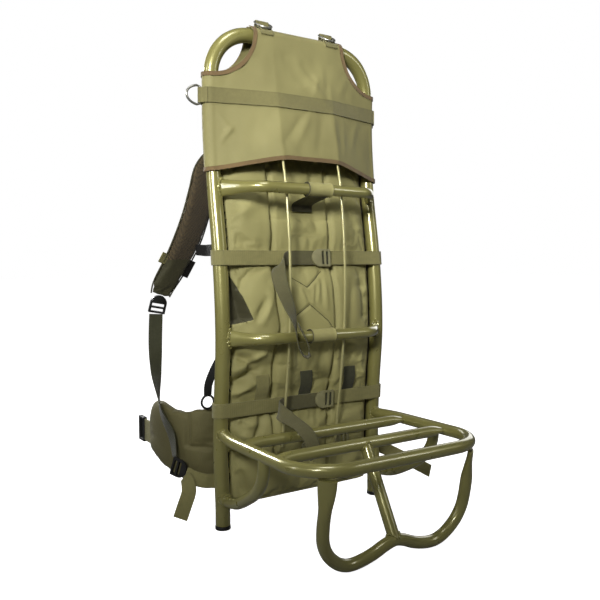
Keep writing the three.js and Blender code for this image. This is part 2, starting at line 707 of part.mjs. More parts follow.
function cutout(hand, radius) {
  const cylinder = new THREE.CylinderGeometry(radius, radius, 2 * HALF_WIDTH, 32);
  cylinder.translate(hand * CUTOUT.x, 0, CUTOUT.z);
  return closed(cylinder);
}

function topCover() {
  const inside = coverBody(COVER.inner, 10);
  return cut(coverBody(COVER.outer), inside, hemBand(-60, 0), cutout(1, CUTOUT.radius), cutout(-1, CUTOUT.radius));
}

// Tape or webbing on the cover's outside, inside a band
function onCover(band, wall) {
  const under = COVER.outer + GAP;
  return solid(coverBody(under + wall)).subtract(solid(coverBody(under, 10))).intersect(band);
}

const binding = (band) => skinOf(onCover(band, BINDING.wall));

const cornerBand = (hand) => solid(cutout(hand, CUTOUT.radius + BINDING.width)).subtract(solid(cutout(hand, CUTOUT.radius)));

add('top_cover', topCover(), 'cloth');
add('hem_binding', binding(solid(hemBand(0, BINDING.width))), 'tape');

// The strap round the cover
function coverStrap() {
  const band = new THREE.BoxGeometry(4 * HALF_WIDTH, 4 * HALF_WIDTH, WEBBING_WIDTH);
  band.translate(0, 0, COVER_STRAP_Z);
  return onCover(solid(closed(band)), WEBBING);
}

// D-rings
function dRing(middle, out, along) {
  const local = [[0, -RING.half * 0.78], [0, 0], [0, RING.half * 0.78]];
  local.push([0.6, RING.half * 0.95]);
  for (const turn of RING.bend) local.push([RING.reach * Math.cos(radians(turn)), RING.half * Math.sin(radians(turn))]);
  local.push([0.6, -RING.half * 0.95]);
  const stations = local.map(([o, a]) => middle.clone().addScaledVector(out, o).addScaledVector(along, a));
  const normal = point(0, 0, 0).crossVectors(out, along);
  const rings = stations.map((station, i) => {
    const { side, square } = directions(stations, i, normal, true);
    return roundRing(station, side, square, RING.wire, RING.wire, RING.sides);
  });
  return loft(rings, { endless: true });
}

const keeperTurn = RING.wire + GAP + WEBBING / 2;

// Side rings: the bar stands upright against the strap on the cover's side
const sideLift = COVER.outer + GAP + WEBBING;
const sideBarX = HALF_WIDTH + coverRadius(sideLift) + GAP + RING.wire;
const sideBarY = uprightY(COVER_STRAP_Z);

function sideKeeper(hand) {
  const lie = coverRadius(sideLift) + WEBBING / 2 - SEAM;
  const feet = SIDE_KEEPER_FEET.map((turn) => [HALF_WIDTH + lie * Math.cos(radians(turn)), lie * Math.sin(radians(turn))]);
  const loop = KEEPER_TURNS.map((turn) => [
    sideBarX + keeperTurn * Math.cos(radians(turn)),
    keeperTurn * Math.sin(radians(turn)),
  ]);
  const path = [...feet.map(([x, y]) => [x, -y]), ...loop, ...feet.toReversed()];
  const stations = path.map(([x, y]) => point(hand * x, sideBarY + y, COVER_STRAP_Z));
  return ribbon(stations, stations.map(() => uprightDirection(COVER_STRAP_Z)), WEBBING_WIDTH);
}

const strapWithKeepers = coverStrap().add(solid(sideKeeper(-1))).add(solid(sideKeeper(1)));
add('cover_strap', skinOf(strapWithKeepers), 'webbing');

function sideRing(hand, swing) {
  const out = point(hand * Math.cos(radians(swing)), Math.sin(radians(swing)), 0);
  return dRing(point(hand * sideBarX, sideBarY, COVER_STRAP_Z), out, point(0, 0, 1));
}

// Top rings: the bar lies along the hoop's top, held up in a standing keeper
const topBarZ = HOOP_TOP + coverRadius(COVER.outer) + TOP_RING.rise;
const topBarY = uprightY(HOOP_TOP);

// A place on the cover's crown in front of or behind the top run's middle
function crownPlace(x, turn, front) {
  const offset = COVER.outer + 2 * GAP + WEBBING / 2;
  const radius = coverRadius(offset);
  const share = (Math.abs(x) - ROD.x) / (HALF_WIDTH - ROD.x);
  const crease = rodY(HOOP_TOP) - ROD.radius - offset;
  const frontY = THREE.MathUtils.lerp(crease, topBarY - radius, share);
  const depth = front ? frontY - topBarY : radius;
  return [topBarY + depth * Math.cos(radians(turn)), HOOP_TOP + radius * Math.sin(radians(turn))];
}

function topKeeper(hand) {
  const x = TOP_RING.x;
  const loop = KEEPER_TURNS.map((turn) => [
    topBarY + keeperTurn * Math.sin(radians(turn)),
    topBarZ + keeperTurn * Math.cos(radians(turn)),
  ]);
  const front = TOP_KEEPER_FEET.map((turn) => crownPlace(x, turn, true));
  const back = TOP_KEEPER_FEET.map((turn) => crownPlace(x, turn, false));
  const neck = [-1, 1].map((side) => [topBarY + side * TOP_RING.neck, topBarZ - TOP_RING.neck_drop]);
  const path = [...front, neck[0], ...loop, neck[1], ...back.reverse()];
  const stations = path.map(([y, z]) => point(hand * x, y, z));
  return ribbon(stations, stations.map(() => point(1, 0, 0)), WEBBING_WIDTH);
}

function topRing(hand) {
  const out = point(0, -Math.cos(radians(RING_SWING.top)), -Math.sin(radians(RING_SWING.top)));
  return dRing(point(hand * TOP_RING.x, topBarY, topBarZ), out, point(1, 0, 0));
}

// Wrap straps
const wrapLift = HOOP_RADIUS + 3 * GAP + WEBBING / 2;

function wrapStrap(z) {
  const left = WRAP_TURNS.map((turn) => point(
    -HALF_WIDTH + wrapLift * Math.cos(radians(turn)),
    uprightY(z) + wrapLift * Math.sin(radians(turn)),
    z,
  ));
  const stations = [...left, ...mirrored(left).reverse()];
  return ribbon(stations, stations.map(() => uprightDirection(z)), WEBBING_WIDTH);
}

// A ladder lock: a plate with a round tab at one end and two slots for the webbing
function ladderLock(length, height, thickness) {
  const half = height / 2;
  const plate = new THREE.Shape();
  plate.moveTo(length / 2, -half);
  plate.lineTo(length / 2, half);
  plate.lineTo(half - length / 2, half);
  plate.absarc(half - length / 2, 0, half, Math.PI / 2, (3 * Math.PI) / 2);
  plate.closePath();
  const slots = [0, 1].map((step) => {
    const slot = new THREE.BoxGeometry(LOCK.slot, height - 2 * LOCK.bar, 3 * thickness);
    slot.translate(length / 2 - LOCK.bar - LOCK.slot / 2 - step * (LOCK.bar + LOCK.slot), 0, 0);
    return closed(slot);
  });
  const options = { depth: thickness, bevelEnabled: false, curveSegments: 8 };
  return cut(closed(new THREE.ExtrudeGeometry(plate, options)), ...slots);
}

// Places a plate: its length along one direction, its thickness along another
function placed(geometry, middle, lengthwise, facing) {
  const upright = point(0, 0, 0).crossVectors(facing, lengthwise).normalize();
  const turn = new THREE.Matrix4().makeBasis(lengthwise, upright, facing).setPosition(middle);
  geometry.applyMatrix4(turn);
  return closed(geometry);
}

const wrapFront = (z) => uprightY(z) - wrapLift - WEBBING / 2 - GAP;

function wrapLock(level) {
  const z = WRAP_Z[level];
  const up = uprightDirection(z);
  const lengthwise = point(1, 0, 0);
  const facing = point(0, 0, 0).crossVectors(lengthwise, up).normalize();
  const middle = point(LOCK_X[level], wrapFront(z) - WEBBING - GAP, z);
  return placed(ladderLock(LOCK.length, LOCK.height, LOCK.thickness), middle, lengthwise, facing);
}

function wrapTail(level, rows) {
  const lift = wrapFront(WRAP_Z[level]) - WEBBING / 2;
  return tableRibbon(rows, 1, WEBBING_WIDTH, lift);
}

for (const level of ['upper', 'lower']) {
  add(`${level}_wrap_strap`, wrapStrap(WRAP_Z[level]), 'webbing');
  add(`${level}_ladder_lock`, wrapLock(level), 'buckle');
}
add('upper_strap_tail', wrapTail('upper', UPPER_TAIL), 'webbing');
add('lower_strap_tail', wrapTail('lower', LOWER_TAIL), 'webbing');

// Back panel and pad
function panelFront(x, z) {
  const half = column(PANEL_ROWS, 'half', 'z', z);
  const crown = column(PANEL_ROWS, 'crown', 'z', z);
  const share = Math.min(Math.abs(x) / half, 1);
  return uprightY(z) + PANEL.edge_front - crown * Math.sqrt(1 - share ** 4);
}

function backPanel() {
  const rings = PANEL_ROWS.map((row) => {
    const ring = [];
    for (let i = 0; i <= CROWN_STEPS; i += 1) {
      const x = row.half * Math.sin((i / CROWN_STEPS - 0.5) * Math.PI);
      ring.push(point(x, panelFront(x, row.z), row.z));
    }
    const back = uprightY(row.z) + PANEL.edge_back;
    return [...ring, point(row.half, back, row.z), point(0, back, row.z), point(-row.half, back, row.z)];
  });
  return loft(rings);
}

function backPad() {
  const rings = PAD_ROWS.map((row) => {
    const y = uprightY(row.z);
    const back = y + PAD.front + (PAD.back - PAD.front) * row.share;
    const ring = [point(-PAD.half, y + PAD.front, row.z), point(PAD.half, y + PAD.front, row.z)];
    for (let i = 0; i <= CROWN_STEPS; i += 1) {
      const turn = (i / CROWN_STEPS) * Math.PI;
      const flat = Math.sign(Math.cos(turn)) * Math.abs(Math.cos(turn)) ** 0.4;
      ring.push(point(PAD.half * flat, back - PAD.bulge * (1 - Math.sin(turn) ** 0.5) * row.share, row.z));
    }
    return ring;
  });
  return loft(rings);
}

add('back_panel', backPanel(), 'cloth');
add('back_pad', backPad(), 'mesh');

// Webbing loops on the panel's front, tucked behind the lower wrap strap
function panelLoop(x) {
  const stations = LOOP_SHAPE.map((row) => point(x, panelFront(x, row.z) - row.off, row.z));
  return ribbon(stations, stations.map(() => point(1, 0, 0)), WEBBING_WIDTH);
}

for (const [name, x] of Object.entries(PANEL_LOOPS)) add(name, panelLoop(x), 'webbing');

// Small locks on the panel's lower front
function panelBuckle({ x, z }) {
  const facing = point(0, -1, 0);
  const middle = point(x, panelFront(x, z) - 3 * GAP, z);
  const plate = ladderLock(PANEL_BUCKLE.length, PANEL_BUCKLE.height, PANEL_BUCKLE.thickness);
  return placed(plate, middle, point(1, 0, 0), facing);
}

for (const [name, place] of Object.entries(PANEL_BUCKLES)) add(name, panelBuckle(place), 'buckle');

// A tab from the upper sleeve down to the panel
function sleeveTab() {
  const z = UPPER_BAR_Z;
  const start = BAR_RADIUS + SLEEVE.slack + SLEEVE.wall + WEBBING / 2 - 2 * SEAM;
  const end = z - SLEEVE_TAB.drop;
  const stations = [
    point(SLEEVE_TAB.x, barY(z) - 3, z - start),
    point(SLEEVE_TAB.x, barY(z) + 10, z - start - 2),
    point(SLEEVE_TAB.x, panelFront(0, end) - SLEEVE_TAB.back, end + 4),
    point(SLEEVE_TAB.x, panelFront(0, end) - 2 * WEBBING, end - 8),
  ];
  return ribbon(stations, stations.map(() => point(1, 0, 0)), SLEEVE_TAB.width);
}

add('upper_sleeve', skinOf(solid(sleeve(UPPER_BAR_Z)).add(solid(sleeveTab()))), 'cloth');
add('middle_sleeve', sleeve(MIDDLE_BAR_Z), 'cloth');

// Hip belt
function beltSection(stations, rows, i) {
  const { square } = directions(stations, i, point(0, 0, 1));
  const row = rows[i];
  const middle = point(stations[i].x, stations[i].y, (row.low + row.high) / 2);
  const half = (row.high - row.low) / 2;
  return Array.from({ length: PAD_SIDES }, (_, k) => {
    const turn = (2 * Math.PI * (k + 0.5)) / PAD_SIDES;
    const rise = Math.sign(Math.sin(turn)) * Math.abs(Math.sin(turn)) ** 0.5;
    const deep = Math.sign(Math.cos(turn)) * Math.abs(Math.cos(turn)) ** 0.7;
    return middle.clone().addScaledVector(square, (deep * row.thick) / 2).add(point(0, 0, rise * half));
  });
}

function hipBelt() {
  const left = BELT_ROWS.map((row) => ({ ...row, x: -row.x }));
  const rows = [...left.toReversed(), ...BELT_ROWS.slice(1)];
  const stations = rows.map((row) => point(row.x, row.y, 0));
  return loft(stations.map((_, i) => beltSection(stations, rows, i)));
}

add('hip_belt', hipBelt(), 'cloth');

function beltBuckle(hand) {
  const { thick, length, height, wall } = BELT_BUCKLE;
  const rim = new THREE.BoxGeometry(thick, length, height);
  const window = new THREE.BoxGeometry(3 * thick, length - 2 * wall, height - 2 * wall);
  const buckle = cut(closed(rim), closed(window));
  const tip = BELT_ROWS.at(-1);
  buckle.translate(hand * tip.x, tip.y + GAP + length / 2, (tip.low + tip.high) / 2);
  return buckle;
}

// A ring in front of the belt's top edge, on a short strap from the pad
function beltRing(hand) {
  const ring = new THREE.TorusGeometry(BELT_RING.radius, BELT_RING.wire, 6, 12);
  ring.rotateX(Math.PI / 2);
  ring.translate(hand * BELT_RING.x, BELT_RING.y, BELT_RING.z);
  return skinOf(solid(closed(ring)).add(solid(tableRibbon(BELT_RING_STRAP, hand, BELT_RING_STRAP_WIDTH))));
}

// Shoulder strap
function strapFitting(fitting, stations, hand) {
  const row = SHOULDER_ROWS[fitting.row];
  const middle = stations[fitting.row];
  const { side, square } = directions(stations, fitting.row, point(hand * row.ax, row.ay, row.az));
  const reach = [fitting.from, fitting.to].map((share) => middle.clone().addScaledVector(side, share * row.width));
  const along = point(0, 0, 0).crossVectors(side, square);
  return solid(ribbon(reach, [along, along], fitting.width, fitting.thick));
}

function shoulderStrap(hand) {
  const stations = SHOULDER_ROWS.map((row) => point(hand * row.x, row.y, row.z));
  const rings = SHOULDER_ROWS.map((row, i) => {
    const { side, square } = directions(stations, i, point(hand * row.ax, row.ay, row.az));
    return Array.from({ length: PAD_SIDES }, (_, k) => {
      const turn = (2 * Math.PI * (k + 0.5)) / PAD_SIDES;
      const wide = Math.sign(Math.cos(turn)) * Math.abs(Math.cos(turn)) ** 0.6;
      const deep = Math.sign(Math.sin(turn)) * Math.abs(Math.sin(turn)) ** 0.7;
      return stations[i].clone()
        .addScaledVector(side, (wide * row.width) / 2)
        .addScaledVector(square, (deep * row.thick) / 2);
    });
  });
  const fittings = STRAP_FITTINGS.map((fitting) => strapFitting(fitting, stations, hand));
  return skinOf(fittings.reduce((body, fitting) => body.add(fitting), solid(loft(rings))));
}

function shoulderLock(hand) {
  const end = SHOULDER_ROWS.at(-1);
  const next = SIDE_WEBBING[0];
  const from = point(hand * end.x, end.y, end.z);
  const to = point(hand * next.x, next.y, next.z);
  const down = to.clone().sub(from).normalize();
  const side = point(hand * end.ax, end.ay, end.az);
  side.addScaledVector(down, -side.dot(down)).normalize();
  const facing = point(0, 0, 0).crossVectors(down, side).normalize();
  const middle = from.clone().addScaledVector(down, SHOULDER_LOCK.drop + 3 * GAP);
  middle.addScaledVector(facing, -SHOULDER_LOCK.thick / 2);
  const plate = ladderLock(SHOULDER_LOCK.height, SHOULDER_LOCK.width, SHOULDER_LOCK.thick);
  return placed(plate, middle, down, facing);
}

function anchorLock(hand) {
  const before = ANCHOR_STRAP.at(-2);
  const end = ANCHOR_STRAP.at(-1);
  const lengthwise = point(hand * (end.x - before.x), end.y - before.y, end.z - before.z).normalize();
  const side = point(0, 0, 1).addScaledVector(lengthwise, -lengthwise.z).normalize();
  const facing = point(0, 0, 0).crossVectors(lengthwise, side).normalize();
  const middle = point(hand * ANCHOR_LOCK.x, ANCHOR_LOCK.y, ANCHOR_LOCK.z);
  middle.addScaledVector(facing, -ANCHOR_LOCK.thick / 2);
  return placed(ladderLock(ANCHOR_LOCK.length, ANCHOR_LOCK.height, ANCHOR_LOCK.thick), middle, lengthwise, facing);
}

// What the two sides share
for (const [side, hand] of [['left', -1], ['right', 1]]) {
  add(`${side}_foot_cap`, footCap(hand), 'black');
  add(`${side}_rod`, rod(hand), 'bare_rod');
  add(`${side}_strut`, strut(hand), 'paint');
  add(`${side}_corner_binding`, binding(cornerBand(hand)), 'tape');
  add(`${side}_side_ring`, sideRing(hand, RING_SWING[`${side}_side`]), 'nickel');
  add(`${side}_top_keeper`, topKeeper(hand), 'webbing');
  add(`${side}_top_ring`, topRing(hand), 'nickel');
  add(`${side}_belt_buckle`, beltBuckle(hand), 'black');
  add(`${side}_belt_ring`, beltRing(hand), 'black');
  add(`${side}_shoulder_strap`, shoulderStrap(hand), 'mesh');
  add(`${side}_shoulder_lock`, shoulderLock(hand), 'black');
  add(`${side}_side_webbing`, tableRibbon(SIDE_WEBBING, hand), 'webbing');
  add(`${side}_lifter_strap`, tableRibbon(LIFTER, hand, LIFTER_WIDTH), 'black');
  add(`${side}_anchor_strap`, tableRibbon(ANCHOR_STRAP, hand), 'webbing');
  add(`${side}_anchor_lock`, anchorLock(hand), 'black');
  add(`${side}_belt_tail`, tableRibbon(hand < 0 ? LEFT_TAIL : RIGHT_TAIL, hand), 'webbing');
}

// The origin lies on the ground under the middle of the whole
const extent = new THREE.Box3().setFromObject(frame);
frame.position.set(-(extent.min.x + extent.max.x) / 2, -(extent.min.y + extent.max.y) / 2, -extent.min.z);

export default frame;
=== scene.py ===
# %% [markdown]
# This lesson dresses a pack frame: a bent and welded tube carrier with a shelf, a cloth cover pulled over
# its top, and a padded harness on the wearer's side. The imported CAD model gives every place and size, so
# each piece below is built where its plain solid stands, and then takes over from it.

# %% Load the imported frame
import math
import random

import bpy
import numpy as np
from mathutils import Matrix, Vector, noise


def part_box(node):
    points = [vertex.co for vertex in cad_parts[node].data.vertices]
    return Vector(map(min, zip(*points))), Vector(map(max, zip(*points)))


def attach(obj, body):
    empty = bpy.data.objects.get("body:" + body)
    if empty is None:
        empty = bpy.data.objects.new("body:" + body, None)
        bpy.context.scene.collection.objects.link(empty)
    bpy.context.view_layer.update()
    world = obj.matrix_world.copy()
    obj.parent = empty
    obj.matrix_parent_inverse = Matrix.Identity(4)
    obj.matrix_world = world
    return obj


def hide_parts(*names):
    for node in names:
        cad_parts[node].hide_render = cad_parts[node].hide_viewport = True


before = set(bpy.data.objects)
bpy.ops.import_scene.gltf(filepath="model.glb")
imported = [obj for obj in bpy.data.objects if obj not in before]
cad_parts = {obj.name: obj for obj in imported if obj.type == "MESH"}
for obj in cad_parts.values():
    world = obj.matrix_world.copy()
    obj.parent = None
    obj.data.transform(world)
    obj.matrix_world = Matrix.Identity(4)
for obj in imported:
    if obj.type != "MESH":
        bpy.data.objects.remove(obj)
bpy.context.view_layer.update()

# %% [markdown]
# The tables below are in millimetres, in the drawing's own frame: +X right, -Y towards the viewer, +Z up,
# with the middle of the hoop at x 0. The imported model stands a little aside, so the shift between the two
# is measured from two nodes whose place in the drawing is known.

# %% From the drawing to the scene
MM = 0.001
FOOT_Y = 8.6
SIDES = (("left", -1), ("right", 1))
hoop_low, hoop_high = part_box("main_hoop")
foot_low, foot_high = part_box("left_foot_cap")
SHIFT = Vector(((hoop_low.x + hoop_high.x) / 2, (foot_low.y + foot_high.y) / 2 - FOOT_Y * MM, 0))


def spot(x, y, z):
    return Vector((x, y, z)) * MM + SHIFT


def nothing_selected():
    if bpy.context.object and bpy.context.object.mode != "OBJECT":
        bpy.ops.object.mode_set(mode="OBJECT")
    bpy.ops.object.select_all(action="DESELECT")


def made_active(piece):
    nothing_selected()
    piece.select_set(True)
    bpy.context.view_layer.objects.active = piece


print("the drawing is shifted by", [round(v / MM, 2) for v in SHIFT], "mm")

# %% [markdown]
# The camera stands where the photographer stood: turned 33 degrees to the load side's left and a little
# above the middle, with a lens of 42 mm on a 36 mm sensor. The floor is one pale plane. A glossy tube shows
# each softbox as a long streak: a small one in front, a tall one at the left, a thin one at the right and
# one behind for the shelf's side. The front two are gridded and aimed high, so light fades to the feet.

# %% Camera, floor and light
CAMERA_PLACE = spot(-685.1, -1028.5, 453.6)
CAMERA_YAW = math.radians(33.15)
CAMERA_PITCH = math.radians(3.38)
CAMERA_LENS, CAMERA_SENSOR = 42, 36
FLOOR_SIZE = 30
SKY_SEEN, SKY_LIGHT = 1.0, 0.05
WHITE = (1, 1, 1, 1)
nothing_selected()
bpy.ops.object.camera_add(
    location=CAMERA_PLACE, rotation=(math.pi / 2 - CAMERA_PITCH, 0, -CAMERA_YAW)
)
camera = bpy.context.object
camera.data.lens = CAMERA_LENS
camera.data.sensor_width = CAMERA_SENSOR
bpy.context.scene.camera = camera

nothing_selected()
bpy.ops.mesh.primitive_plane_add(size=FLOOR_SIZE)
floor = bpy.context.object
floor.name = "floor"


def softbox(name, place, aim, size, watts, spread=180):
    nothing_selected()
    bpy.ops.object.light_add(type="AREA", location=place)
    lamp = bpy.context.object
    lamp.name = name
    lamp.data.shape = "RECTANGLE"
    lamp.data.size, lamp.data.size_y = size
    lamp.data.energy = watts
    lamp.data.spread = math.radians(spread)
    lamp.rotation_euler = (Vector(aim) - Vector(place)).to_track_quat("-Z", "Y").to_euler()
    return lamp


HEART = (0, 0, 0.42)
CHEST = (0, 0, 0.78)
RAIL_SIDE = (-0.17, -0.1, 0.16)
softbox("key_softbox", (-1.4, -1.3, 1.2), CHEST, (0.4, 0.4), 4.4, 50)
softbox("left_softbox", (-1.9, 0.1, 1.1), CHEST, (0.2, 1.0), 1.2, 60)
softbox("right_softbox", (1.3, -1.5, 1.3), HEART, (0.12, 0.9), 4)
softbox("top_softbox", (-0.3, -0.7, 2.1), HEART, (0.6, 0.6), 10)
softbox("back_softbox", (-0.55, 1.7, 1.2), RAIL_SIDE, (0.3, 0.25), 2.5, 60)
softbox("far_side_fill", (2.0, 0.9, 1.1), HEART, (1.0, 1.2), 8)
softbox("rear_fill", (0.4, 2.3, 1.4), HEART, (1.2, 1.0), 10)



def seen_or_lit(tree, seen, lit, output):
    path = tree.nodes.new("ShaderNodeLightPath")
    mix = tree.nodes.new("ShaderNodeMixShader")
    tree.links.new(path.outputs["Is Camera Ray"], mix.inputs[0])
    tree.links.new(lit.outputs[0], mix.inputs[1])
    tree.links.new(seen.outputs[0], mix.inputs[2])
    tree.links.new(mix.outputs[0], tree.nodes[output].inputs["Surface"])


world = bpy.context.scene.world or bpy.data.worlds.new("studio")
bpy.context.scene.world = world
world.use_nodes = True
sky = world.node_tree
sky_seen = sky.nodes["Background"]
sky_light = sky.nodes.new("ShaderNodeBackground")
for background, strength in ((sky_seen, SKY_SEEN), (sky_light, SKY_LIGHT)):
    background.inputs["Color"].default_value = WHITE
    background.inputs["Strength"].default_value = strength
seen_or_lit(sky, sky_seen, sky_light, "World Output")
bpy.context.scene.view_settings.view_transform = "Standard"
print("camera at", [round(v, 3) for v in camera.location], "with seven softboxes")

# %% [markdown]
# Finishes first. A weave, the ribs of webbing, an uneven dye and the peel of thick paint each turn up in
# more than one finish, so each is a shader node group with named sockets. The other way would be to paint
# pictures for them, but a formula stays sharp at any distance.

# %% Group helpers
def shader_group(name, inputs, outputs):
    tree = bpy.data.node_groups.new(name, "ShaderNodeTree")
    for label, kind, value in inputs:
        made = tree.interface.new_socket(label, in_out="INPUT", socket_type="NodeSocket" + kind)
        if value is not None:
            made.default_value = value
    for label in outputs:
        tree.interface.new_socket(label, in_out="OUTPUT", socket_type="NodeSocketFloat")
    return tree, tree.nodes.new("NodeGroupInput").outputs, tree.nodes.new("NodeGroupOutput").inputs


def wire(tree, value, socket):
    if isinstance(value, (int, float)):
        socket.default_value = value
    else:
        tree.links.new(value, socket)


def sum_of(tree, operation, first, second=0.0, third=0.0):
    node = tree.nodes.new("ShaderNodeMath")
    node.operation = operation
    for value, socket in zip((first, second, third), node.inputs):
        wire(tree, value, socket)
    return node.outputs[0]


def noise_of(tree, vector, scale, detail=2.0, rough=0.5):
    node = tree.nodes.new("ShaderNodeTexNoise")
    tree.links.new(vector, node.inputs["Vector"])
    for label, value in (("Scale", scale), ("Detail", detail), ("Roughness", rough)):
        wire(tree, value, node.inputs[label])
    return node.outputs["Fac"]


def waves_of(tree, vector, period):
    split = tree.nodes.new("ShaderNodeSeparateXYZ")
    tree.links.new(vector, split.inputs[0])
    turns = sum_of(tree, "DIVIDE", math.tau, period)
    return [sum_of(tree, "SINE", sum_of(tree, "MULTIPLY", axis, turns)) for axis in split.outputs]


PLACE = ("Place", "Vector", None)
print("helpers for shader groups are ready")

# %% [markdown]
# Pack cloth is a plain weave, one thread over and one under, so its height is the product of two waves. The
# waves run along all three axes, and the same group then fits cloth that faces any way. Webbing is woven
# ribbed and has a thicker selvedge along both edges, so it reads the band's own UV map.

# %% Weave and webbing
weave, at, out = shader_group("plain_weave", [PLACE, ("Thread", "Float", 0.0012)], ["Height", "Shade"])
x_wave, y_wave, z_wave = waves_of(weave, at["Place"], at["Thread"])
crossings = sum_of(weave, "MULTIPLY", x_wave, z_wave)
crossings = sum_of(weave, "MULTIPLY_ADD", y_wave, z_wave, crossings)
crossings = sum_of(weave, "MULTIPLY_ADD", x_wave, y_wave, crossings)
slub = noise_of(weave, at["Place"], 900.0, 1.0)
weave.links.new(sum_of(weave, "MULTIPLY_ADD", crossings, 0.3, slub), out["Height"])
weave.links.new(sum_of(weave, "MULTIPLY_ADD", crossings, 0.05, 0.95), out["Shade"])

ribs, at, out = shader_group(
    "webbing_ribs", [PLACE, ("Rib", "Float", 0.0016), ("Width", "Float", 0.025)], ["Height", "Shade"]
)
u_wave, v_wave = waves_of(ribs, at["Place"], at["Rib"])[:2]
split = ribs.nodes.new("ShaderNodeSeparateXYZ")
ribs.links.new(at["Place"], split.inputs[0])
share = sum_of(ribs, "DIVIDE", split.outputs[0], at["Width"])
aside = sum_of(ribs, "ABSOLUTE", sum_of(ribs, "SUBTRACT", share, 0.5))
selvedge = sum_of(ribs, "GREATER_THAN", aside, 0.43)
lie = sum_of(ribs, "MULTIPLY", u_wave, v_wave)
lie = sum_of(ribs, "MULTIPLY_ADD", v_wave, 0.6, lie)
worn = noise_of(ribs, at["Place"], 160.0, 3.0)
raised = sum_of(ribs, "MULTIPLY", selvedge, 0.5)
ribs.links.new(sum_of(ribs, "MULTIPLY_ADD", lie, 0.3, raised), out["Height"])
ribs_shade = sum_of(ribs, "MULTIPLY_ADD", lie, 0.07, sum_of(ribs, "MULTIPLY_ADD", worn, 0.3, 0.82))
ribs.links.new(sum_of(ribs, "MULTIPLY_ADD", selvedge, -0.08, ribs_shade), out["Shade"])
print("cloth groups:", [g.name for g in bpy.data.node_groups])

# %% [markdown]
# Dyed cloth and thick paint are never even. Broad soft noise gives the tone's drift, fine noise its flecks,
# and the highest peaks of a rough noise are the places where the paint has chipped off. The spacer net is a
# field of cells with a hole in the middle of each, painted near black as painted shade inside the hole.

# %% Dye, paint and net
dye, at, out = shader_group("uneven_dye", [PLACE, ("Patch", "Float", 14.0)], ["Tone", "Fleck"])
broad = noise_of(dye, at["Place"], at["Patch"], 3.0)
fine = noise_of(dye, at["Place"], 420.0, 2.0)
dye.links.new(sum_of(dye, "MULTIPLY_ADD", broad, 1.6, -0.3), out["Tone"])
dye.links.new(fine, out["Fleck"])

peel, at, out = shader_group("paint_peel", [PLACE, ("Grain", "Float", 420.0)], ["Height", "Dull", "Chip"])
grain = noise_of(peel, at["Place"], at["Grain"], 2.0)
rubbed = noise_of(peel, at["Place"], 38.0, 4.0)
nick = noise_of(peel, at["Place"], 170.0, 5.0, 0.6)
peel.links.new(grain, out["Height"])
peel.links.new(rubbed, out["Dull"])
peel.links.new(sum_of(peel, "GREATER_THAN", nick, 0.74), out["Chip"])

net, at, out = shader_group("spacer_net", [PLACE, ("Cell", "Float", 330.0)], ["Height", "Hole"])
cells = net.nodes.new("ShaderNodeTexVoronoi")
cells.inputs["Randomness"].default_value = 0.25
net.links.new(at["Place"], cells.inputs["Vector"])
net.links.new(at["Cell"], cells.inputs["Scale"])
net.links.new(cells.outputs["Distance"], out["Height"])
net.links.new(sum_of(net, "LESS_THAN", cells.outputs["Distance"], 0.34), out["Hole"])
print("groups:", [g.name for g in bpy.data.node_groups])

# %% [markdown]
# Each finish is one Principled shader. What is the same all over is set on its own socket, and only what
# varies comes from a group: the dye's tone, the weave's relief, the dull and chipped places of the paint.

# %% Finish helpers
def tint(red, green, blue):
    def linear(value):
        share = value / 255
        return share / 12.92 if share <= 0.04045 else ((share + 0.055) / 1.055) ** 2.4

    return (linear(red), linear(green), linear(blue), 1)


def new_finish(name, roughness, metallic=0.0, sheen=0.0, coat=0.0):
    material = bpy.data.materials.new(name)
    material.use_nodes = True
    tree = material.node_tree
    shader = tree.nodes["Principled BSDF"]
    for label, value in (
        ("Roughness", roughness), ("Metallic", metallic), ("Sheen Weight", sheen), ("Coat Weight", coat)
    ):
        shader.inputs[label].default_value = value
    return material, tree, shader


def placed(tree, group, by, **values):
    node = tree.nodes.new("ShaderNodeGroup")
    node.node_tree = group
    where = tree.nodes.new("ShaderNodeTexCoord")
    tree.links.new(where.outputs[by], node.inputs["Place"])
    for label, value in values.items():
        node.inputs[label].default_value = value
    return node.outputs


def mixed(tree, share, low, high):
    node = tree.nodes.new("ShaderNodeMix")
    node.data_type = "RGBA"
    node.clamp_factor = True
    wire(tree, share, node.inputs["Factor"])
    for value, label in ((low, "A"), (high, "B")):
        socket = next(s for s in node.inputs if s.name == label and s.type == "RGBA")
        if isinstance(value, tuple):
            socket.default_value = value
        else:
            tree.links.new(value, socket)
    return next(s for s in node.outputs if s.type == "RGBA")


def dyed_colour(tree, patch, dark, light):
    dyed = placed(tree, dye, "Object", Patch=patch)
    return mixed(tree, dyed["Tone"], dark, light), dyed["Fleck"]


def roughened(tree, shader, mask, gain, base):
    tree.links.new(sum_of(tree, "MULTIPLY_ADD", mask, gain, base), shader.inputs["Roughness"])


def relief(tree, shader, height, depth, strength):
    bump = tree.nodes.new("ShaderNodeBump")
    bump.inputs["Distance"].default_value = depth
    bump.inputs["Strength"].default_value = strength
    tree.links.new(height, bump.inputs["Height"])
    tree.links.new(bump.outputs[0], shader.inputs["Normal"])


def shaded(tree, colour, shade):
    node = tree.nodes.new("ShaderNodeVectorMath")
    node.operation = "SCALE"
    tree.links.new(colour, node.inputs[0])
    tree.links.new(shade, node.inputs["Scale"])
    return node.outputs[0]


print("helpers for finishes are ready")
